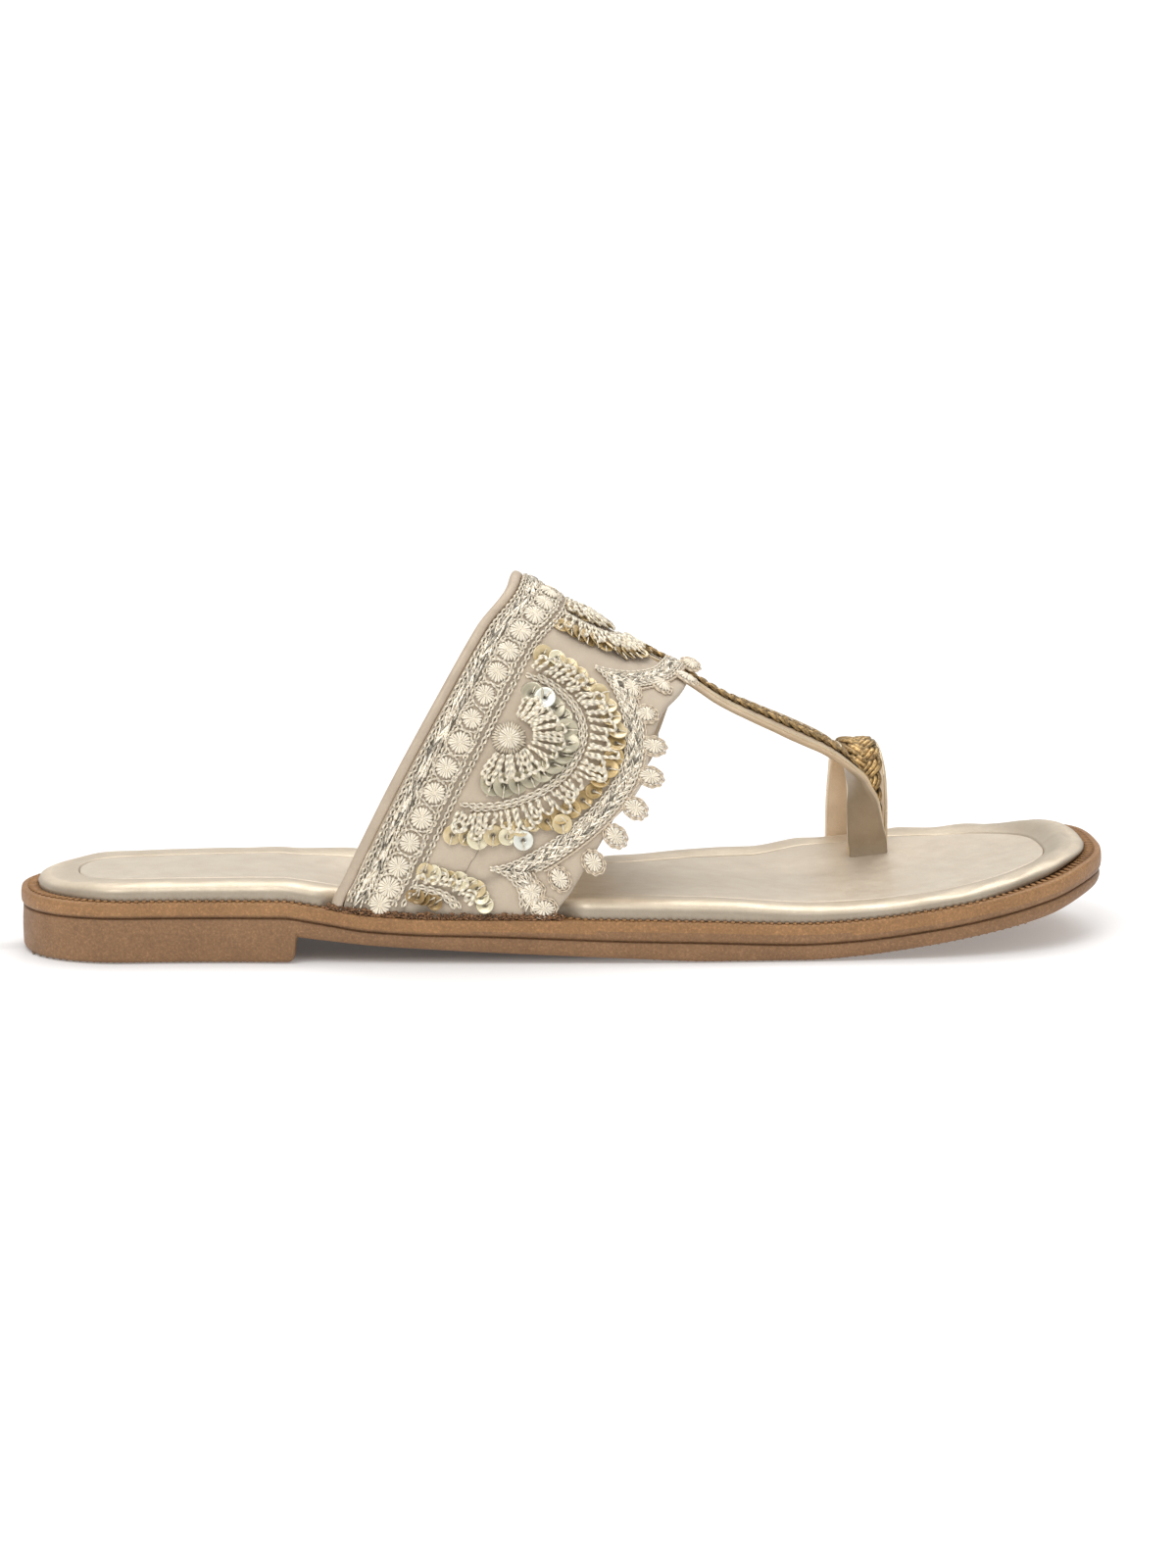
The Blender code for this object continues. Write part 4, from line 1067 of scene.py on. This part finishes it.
def satin_disc(radius, height, threads, long=1, point=0):
    """Padded disc of satin stitches: one rounded thread per direction over a low dome."""
    disc = Batch()
    t = np.linspace(0.04, 1, 7)[:, None]
    turn = np.arange(6) * PI / 3
    dome = height * np.sqrt(np.maximum(0, 1 - (0.93 * t) ** 2.2)) - 0.1 * (t > 0.99)
    rise = 0.17 * smooth(t * 4) + 0.03
    # painted light and shade: each thread lighter on top, darker towards the disc's edge
    fade = (0.78 + 0.28 * smooth((np.sin(turn) + 0.3) / 0.9)) * (1.06 - 0.12 * (t > 0.9) - 0.08 * t)
    for k in range(threads):
        a = 2 * PI * (k + RNG.uniform(-0.12, 0.12)) / threads
        r = radius * RNG.uniform(0.94, 1.06) * t
        half = np.maximum(PI * r / threads * 0.96, 0.05)
        half[-1] *= 0.35
        x = r * math.cos(a) - half * np.cos(turn) * math.sin(a)
        y = (r * math.sin(a) + half * np.cos(turn) * math.cos(a)) * long
        y = np.where(y < 0, y * (1 + point * (1 - np.minimum(np.abs(x) / radius, 1))), y)
        disc.add(np.stack([x, y, dome + rise * np.sin(turn)], -1), grid_faces(7, 6),
                 (RNG.uniform(0.92, 1.08) * fade).ravel())
    # painted shade: the dome under the threads is darker, showing in the gaps between them
    a = np.arange(24) * 2 * PI / 24
    share = np.array([0, 0.5, 0.85, 1])[:, None] * radius * 0.95
    z = height * np.array([1, 0.86, 0.42, 0])[:, None] - 0.05
    disc.add(np.stack([share * np.cos(a), share * np.sin(a) * long, z + 0 * a], -1), grid_faces(4, 24), 0.7)
    return disc.arrays()


def sequin_shape(radius):
    """Thin cupped disc with a hole and a flat rim."""
    hole, count = 0.42, 22
    a = np.arange(count) * 2 * PI / count
    # tones: painted shade in the hole and on the underside, a slight painted highlight where the cup rises to the rim
    r, z, tones = np.array([
        (hole, 0, 0.25), (hole, 0.1, 0.4), (radius * 0.45, 0.03, 1), (radius * 0.72, 0.16, 1.02),
        (radius * 0.88, 0.3, 1.08), (radius, 0.3, 1), (radius, 0.2, 0.5), (radius * 0.72, 0.05, 0.5),
        (radius * 0.45, -0.08, 0.4)]).T[:, :, None]
    pts = np.stack([r * np.cos(a), r * np.sin(a), z + 0 * a], -1).reshape(-1, 3)
    return pts, grid_faces(len(r), count, wrap_rows=True), np.repeat(tones, count)


def thread_loop(batch, v0, u0, phi, length, width, cord_width, lift, lean):
    """One long stitch: out along one leg, round the tip and back along the other."""
    w = width / 2
    y1 = length - w
    arc = np.linspace(0, PI, 9)
    x = np.concatenate([[-w * 0.55, -w * 0.9], -w * np.cos(arc), [w * 0.9, w * 0.55]])
    y = np.concatenate([[0, y1 * 0.5], y1 + w * np.sin(arc), [y1 * 0.5, 0]])
    x = x + lean * y / max(length, 0.1) + 0.17 * np.sin(y * 2.2 + RNG.uniform(0, 6))
    v, u = local_vu(v0, u0, phi, x, y)
    if not on_foot(v):
        cord(batch, v, u, cord_width * RNG.uniform(0.85, 1.15), lift + RNG.uniform(0, 0.45), step=0.26,
             rough=0.18, knot=0.26)


def heading(v0, u0, v1, u1):
    """Angle from the girth direction, and distance in mm, of (v1, u1) seen from (v0, u0)."""
    tv, tu, n = tangents(v0, u0)
    e1 = unit(tv)
    d = tv * (v1 - v0) + tu * (u1 - u0)
    return math.atan2(d @ np.cross(n, e1), d @ e1), float(np.linalg.norm(surface(v1, u1) - surface(v0, u0)))


class Flower:
    """A half flower: centre and half sizes in v and u, mirrored or not."""

    def __init__(self, vc, uc, av, bu, exponent=2, mirror=1):
        self.vc, self.uc, self.av, self.bu, self.power, self.mirror = vc, uc, av, bu, 2 / exponent, mirror

    def at(self, k, theta):
        c, s = np.cos(theta), np.sin(theta)
        return ((self.vc + k * self.av * np.sign(c) * np.abs(c) ** self.power) * self.mirror,
                self.uc + k * self.bu * np.abs(s) ** self.power)

    def even(self, k, count, lo, hi):
        """Angles that space count points evenly along the ring."""
        theta = np.linspace(lo, hi, 240)
        v, u = self.at(k, theta)
        s = arc_length(surface(v * self.mirror, u))
        return np.interp(np.linspace(0, s[-1], count), s, theta)

    def arcs(self, batch, *ring, lo=0, hi=PI):
        """Chain stitches along the rings."""
        for k in ring:
            v, u = self.at(k, np.linspace(lo, hi, 60))
            keep = np.abs(v) < FOOT
            if keep.sum() > 3:
                chain(batch, v[keep], u[keep], 1.3, 1.9)


def put_sequin(films, threads, kind, radius, v0, u0, phi, lift, tilt, roll):
    """One sequin and the short stitch that ties it down."""
    stamp(films[kind], *sequin_shape(radius), v0, u0, phi, lift, tilt, roll)
    v, u = local_vu(v0, u0, phi, np.array([0, RNG.uniform(-0.4, 0.4)]), np.array([0.1, radius * 1.08]))
    if not on_foot(v):
        cord(threads, v, u, 0.44, lift + 0.28, pitch=1.5, step=0.4, sides=5, rough=0.03)


def petals(threads, films, flower, base, tip, count, seq_k, seq_radius, kinds, width, lo=0.04, hi=PI - 0.04,
           spread=1, over=0.75, size=1):
    """A ring of thread loops over a row of overlapping sequins; kinds picks each sequin's film."""
    step = (hi - lo) / count
    for th in flower.even((base + tip) / 2, count, lo, hi):
        th = float(np.clip(th + RNG.uniform(-0.3, 0.3) * step, lo, hi))
        v0, u0 = flower.at(base, th)
        v1, u1 = flower.at(tip * RNG.uniform(0.9, 1.05), th)
        if on_foot((v0, v1)):
            continue
        phi, dist = heading(v0, u0, v1, u1)
        thread_loop(threads, v0, u0, phi, dist, width * RNG.uniform(0.72, 1.12), size, over, RNG.uniform(-1.1, 1.1))
    for i, th in enumerate(flower.even(seq_k, max(2, int(count * spread)), lo, hi)):
        v0, u0 = flower.at(seq_k * RNG.uniform(0.975, 1.02), th)
        if abs(v0) > FOOT - 0.01:
            continue
        phi, _ = heading(v0, u0, *flower.at(seq_k * 1.08, th))
        kind = kinds(i)
        put_sequin(films, threads, kind, seq_radius * RNG.uniform(0.82, 1.08), v0, u0, phi + RNG.uniform(-0.2, 0.2),
                   0.4 + 0.9 * (kind == "white") + RNG.uniform(0, 0.25), RNG.uniform(-0.05, 0.22),
                   (0.28 + RNG.uniform(-0.14, 0.14)) * (1 if i % 5 else -1))


def arch(t):
    """Height of an arch of the lace as a share of its apex; t runs from -1 to 1."""
    return np.maximum(0, 1 - np.minimum(np.abs(t), 1) ** ARCH_EXP) ** (1 / ARCH_EXP)


def trim_inner(v):
    """Inner edge of the lace as a function of v."""
    w = -np.abs(v)
    out = np.full_like(w, CUSP_U)
    for first, second, apex in ARCHES:
        t = 2 * (w - first) / (second - first) - 1
        out = np.where((w >= first) & (w <= second), CUSP_U + (apex - CUSP_U) * arch(t), out)
    return out


def make_crease_shadow():
    """A dark cord that paints the shade of a fine crease in the cloth above the foot."""
    batch = Batch()
    cord(batch, [-0.815, -0.85, -0.885, -0.905], [0.52, 0.508, 0.5, 0.488], 0.16, -0.03, pitch=3, step=0.4,
         sides=5)
    batch.build("cloth_crease_shadow", BACKING_AND_SHADE, "band_fabric")


def make_border():
    threads, bundle, cream, rings = [Batch() for _ in range(4)]
    line = np.linspace(-FOOT, FOOT, 140)
    wavy = 0.008 * np.cos(2 * PI * (np.abs(line) - 0.0975) / 0.065)
    for u0 in (0.071, 0.151 + wavy * 0.6, 0.264 - wavy * 0.5, 0.305):
        chain(threads, line, line * 0 + u0)
    for u0, slant in ((0.094, 0.22), (0.11, -0.2), (0.126, 0.22)):
        v, u, s = dense(line, line * 0 + u0, 0.5)
        stitch_row(bundle, path_frame(v, u), s, 0.8, 1, slant, 0.3, 0.5, 0.5, 0.46)
    turn = np.linspace(0, 2 * PI, 28)
    scallop = 2.85 * (1 + 0.12 * np.abs(np.cos(turn * 3.5)))
    for v0 in [side * v for side in (1, -1) for v in DOTS]:
        stamp(cream, *satin_disc(2.5 * RNG.uniform(0.93, 1.04), 0.85, 18), v0, DOT_U, RNG.uniform(0, 1.4), 0.16)
        v, u = local_vu(v0, DOT_U, RNG.uniform(0, 2), scallop * np.cos(turn), scallop * np.sin(turn))
        if np.max(np.abs(v)) < 0.985:
            cord(rings, v, u, 0.66, 0.12, pitch=1.3, sides=6, rough=0.14, knot=0.22)
    # painted shade: the ground is darker under the chain and bundle rows, lighter round the dots
    ground = plate("border_ground", 0.996, np.linspace(0.058, 0.318, 9), 0.05, 0.16, FABRIC, count=240,
                   tones=[0.6, 0.6, 0.62, 0.75, 0.93, 0.93, 0.9, 0.7, 0.7])
    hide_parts("dot_border")
    threads.build("border_threads", ZARI, stands_for="dot_border")
    bundle.build("border_bundle", SILVER)
    rings.build("border_rings", RING)
    cream.build("border_dots", CREAM)


def make_flowers():
    loops, lines, cream, pale = [Batch() for _ in range(4)]
    films = {kind: Batch() for kind in SEQUINS}
    ring = partial(petals, loops, films)
    for mirror in (1, -1):
        main = Flower(-0.56, 0.335, 0.26, 0.56, 2.3, mirror)
        heart = Flower(-0.555, 0.4, 0.128, 0.27, mirror=mirror)
        low = Flower(-1.04, 0.31, 0.15, 0.42, mirror=mirror)
        stamp(pale, *satin_disc(3.9, 0.7, 34), main.vc * mirror, 0.405, 0.2, 0.15)
        stamp(cream, *satin_disc(2.6, 0.9, 20), main.vc * mirror, 0.405, 0, 0.7)
        ring(heart, 0.38, 0.93, 18, 0.98, 2.75, lambda i: "white" if i == 2 else "grey", 2.15, -0.22, PI + 0.12,
             spread=0.85)
        main.arcs(lines, 0.675)
        main.arcs(lines, 0.712, lo=0.1, hi=PI - 0.1)
        ring(main, 0.74, 0.955, 32, 0.965, 2.35, lambda i: "gold" if i < 9 or i > 17 else "bronze", 2.2, spread=0.8,
             size=0.98)
        for kind, v0, u0, radius in (("film", -0.308, 0.435, 2.15), ("film", -0.81, 0.482, 2.6),
                                     ("white", -0.805, 0.675, 2.3), ("film", -0.8, 0.6, 2),
                                     ("gold", -0.75, 0.8, 2.3)):
            v0 *= mirror
            put_sequin(films, loops, kind, radius, v0, u0, heading(v0, u0, v0 * 1.02, u0 + 0.02)[0], 0.95, 0.05, 0.1)
        ring(low, 0.82, 0.96, 11, 0.97, 2.1, lambda i: "film" if i % 3 else "gold", 2, hi=1.62, over=0.35)
        low.arcs(lines, 0.69, 0.74, hi=1.6)
        ring(low, 0.4, 0.62, 9, 0.6, 1.7, lambda i: "dark", 1.7, hi=1.2, size=0.8)
    top = Flower(0, 0.31, 0.205, 0.46, 2.6)
    ring(top, 0.66, 0.92, 26, 0.93, 2.4, lambda i: "bronze", 2, over=0.45, size=0.9)
    top.arcs(lines, 0.62)
    ring(top, 0.22, 0.52, 13, 0.46, 2.1, lambda i: "bronze", 1.9, over=0.4, size=0.9)
    loops.build("flower_loops", LOOP)
    lines.build("flower_chains", RING)
    cream.build("flower_hearts", CREAM)
    pale.build("flower_pads", PAD)
    for kind, mat in SEQUINS.items():
        films[kind].build("sequins_" + kind, mat, "bronze_braid" if kind == "bronze" else "zari_thread")


def lace_lines(threads, lines, pale):
    """Rows of stitches along every arch; returns v and u along the arches' inner edge."""
    c, s = np.cos(np.linspace(PI, 0, 90)), np.sin(np.linspace(PI, 0, 90))
    power = 2 / ARCH_EXP
    samples = []
    for first, second, apex in ARCHES:
        for mirror in ((1, -1) if second < 0 else (1,)):
            v = (first + second) / 2 + (second - first) / 2 * np.sign(c) * np.abs(c) ** power
            u = CUSP_U + (apex - CUSP_U) * np.abs(s) ** power
            vd, ud, _ = dense(v[v > -FOOT], u[v > -FOOT], 0.5)
            across = path_frame(vd, ud)[2]
            for a, kind in ((0, "edge"), (0.75, 0.42), (1.45, -0.38), (2.15, 0.42), (2.85, -0.36), (3.6, "edge"),
                            (4.7, "pale")):
                vo, uo = moved(vd, ud, across * -a)
                ok = (vo > max(first, -FOOT)) & (vo < second) & (uo < 1.05)
                if ok.sum() < 6:
                    continue
                vo, uo, at = dense(vo[ok] * mirror, uo[ok], 0.22)
                p, t, b, n = path_frame(vo, uo)
                p = p + n * (0.28 + ridge_rise(vo))[:, None]
                if kind == "edge":
                    chain_on(lines, (p, t, b, n), at, 1.15, 1.6, 0, 0.26)
                elif kind == "pale":
                    tube(pale, p + n * 0.12, n, 0.3, 0.26, 6, at * PI / 1.3, 0.4, 0.95)
                else:
                    stitch_row(threads, (p, t, b, n), at, 1, 0.8, kind * mirror, 0.02, 0.44, 0.48, 0.52)
            samples.append(np.stack([vd * mirror, ud], 1))
    return np.concatenate(samples)


def make_lace():
    threads, lines, pale, cream = [Batch() for _ in range(4)]
    line = lace_lines(threads, lines, pale)
    line_pts = surface(*line.T)
    turn = np.linspace(0, 2 * PI, 40)
    for sign in (-1, 1):
        for lobe_v, u0 in LOBES:
            top = lobe_v == 0
            if top and sign > 0:
                continue
            v0 = -sign * lobe_v
            if sign > 0:
                u0 = u0 - 0.085 * smooth(-lobe_v / 0.15)
            near = line[np.argmin(np.linalg.norm(line_pts - surface(v0, u0), axis=1))]
            phi, _ = heading(v0, u0, v0 * 2 - near[0], u0 * 2 - near[1])
            rise = 1.6 if top else float(ridge_rise(v0))
            k, roll = (0.8, -0.7) if top else (1, 0)
            stamp(cream, *satin_disc(1.72 * k, 0.75, 15, 1.32, 0.2), v0, u0, phi, 0.26 + rise, 0, roll)
            for r, size in ((1.95 * k, 0.34), (2.4 * k, 0.3)):
                wob = r * (1 + 0.05 * np.sin(turn * 9 + r))
                pts = np.stack([wob * np.sin(turn), wob * 1.27 * np.cos(turn), turn * 0 + 0.12], 1)
                cord_ = Batch()
                tube(cord_, pts, np.array([0, 0, 1]), size, size, 6, turn * 5.5, 0.5,
                     0.95 + 0.2 * np.sin(turn * 11), False)
                stamp(pale, *cord_.arrays(), v0, u0, phi, 0.22 + rise, 0, roll)

    def rows(start, width, shares):
        return [lambda v, t=t: trim_inner(v) + start + width * t for t in shares]

    # a dark backing under the lace stitches: the lace's ground, darkened as painted shade in the gaps between the
    # stitches
    ground = plate("lace_ground", 0.985, rows(0.006, LACE_U, (0, 0.35, 0.7, 1)), 0.06, 0.26, BACKING_AND_SHADE, ridge_rise)
    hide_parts("lace_trim")
    plate("lace_net", 0.985, rows(LACE_U, 0.034, (0, 0.5, 1)), 0.08, 0.24, NET, ridge_rise)
    threads.build("lace_threads", SILVER, stands_for="lace_trim")
    lines.build("lace_chains", RING)
    pale.build("lace_cords", PEACH)
    cream.build("lace_drops", CREAM)


def make_glue():
    """Dark fuzzy line of glue where the cloth meets the sole."""
    batch = Batch()
    for side in (-1, 1):
        p = surface(0.999 * side, np.linspace(-0.02, 1.03, 300))
        s = arc_length(p)
        count = int(s[-1] / 0.075)
        where = RNG.uniform(0, s[-1], count)
        at, d = along(where, s, p), along(where, s, direction(p))
        depth = 0.55 + 0.45 * wave(where * 0.7, where * 0.2, 0.3, 4)
        at[:, 2] = welt_top(at[:, 0], at[:, 1]) + 0.1 + RNG.uniform(0, 1, count) ** 1.2 * (0.9 + 0.7 * depth)
        at[:, 1] += side * RNG.uniform(0.15, 0.75, count)
        d = d + RNG.normal(0, 0.55, (count, 3))
        strokes(batch, at, d, np.array([0, side, 0.3]), RNG.uniform(0.5, 1.3, count),
                RNG.uniform(0.25, 0.45, count), 0.4, RNG.uniform(0.5, 1.7, count), 0.05)
    batch.build("glue_seam", GLUE, "sole_rubber")


for step in (make_camera, make_stage, make_outsole, make_welt_ribs, make_tread, make_insole, make_sock, make_vamp,
             make_binding, make_straps, make_crease_shadow, make_border, make_flowers, make_lace, make_glue):
    step()
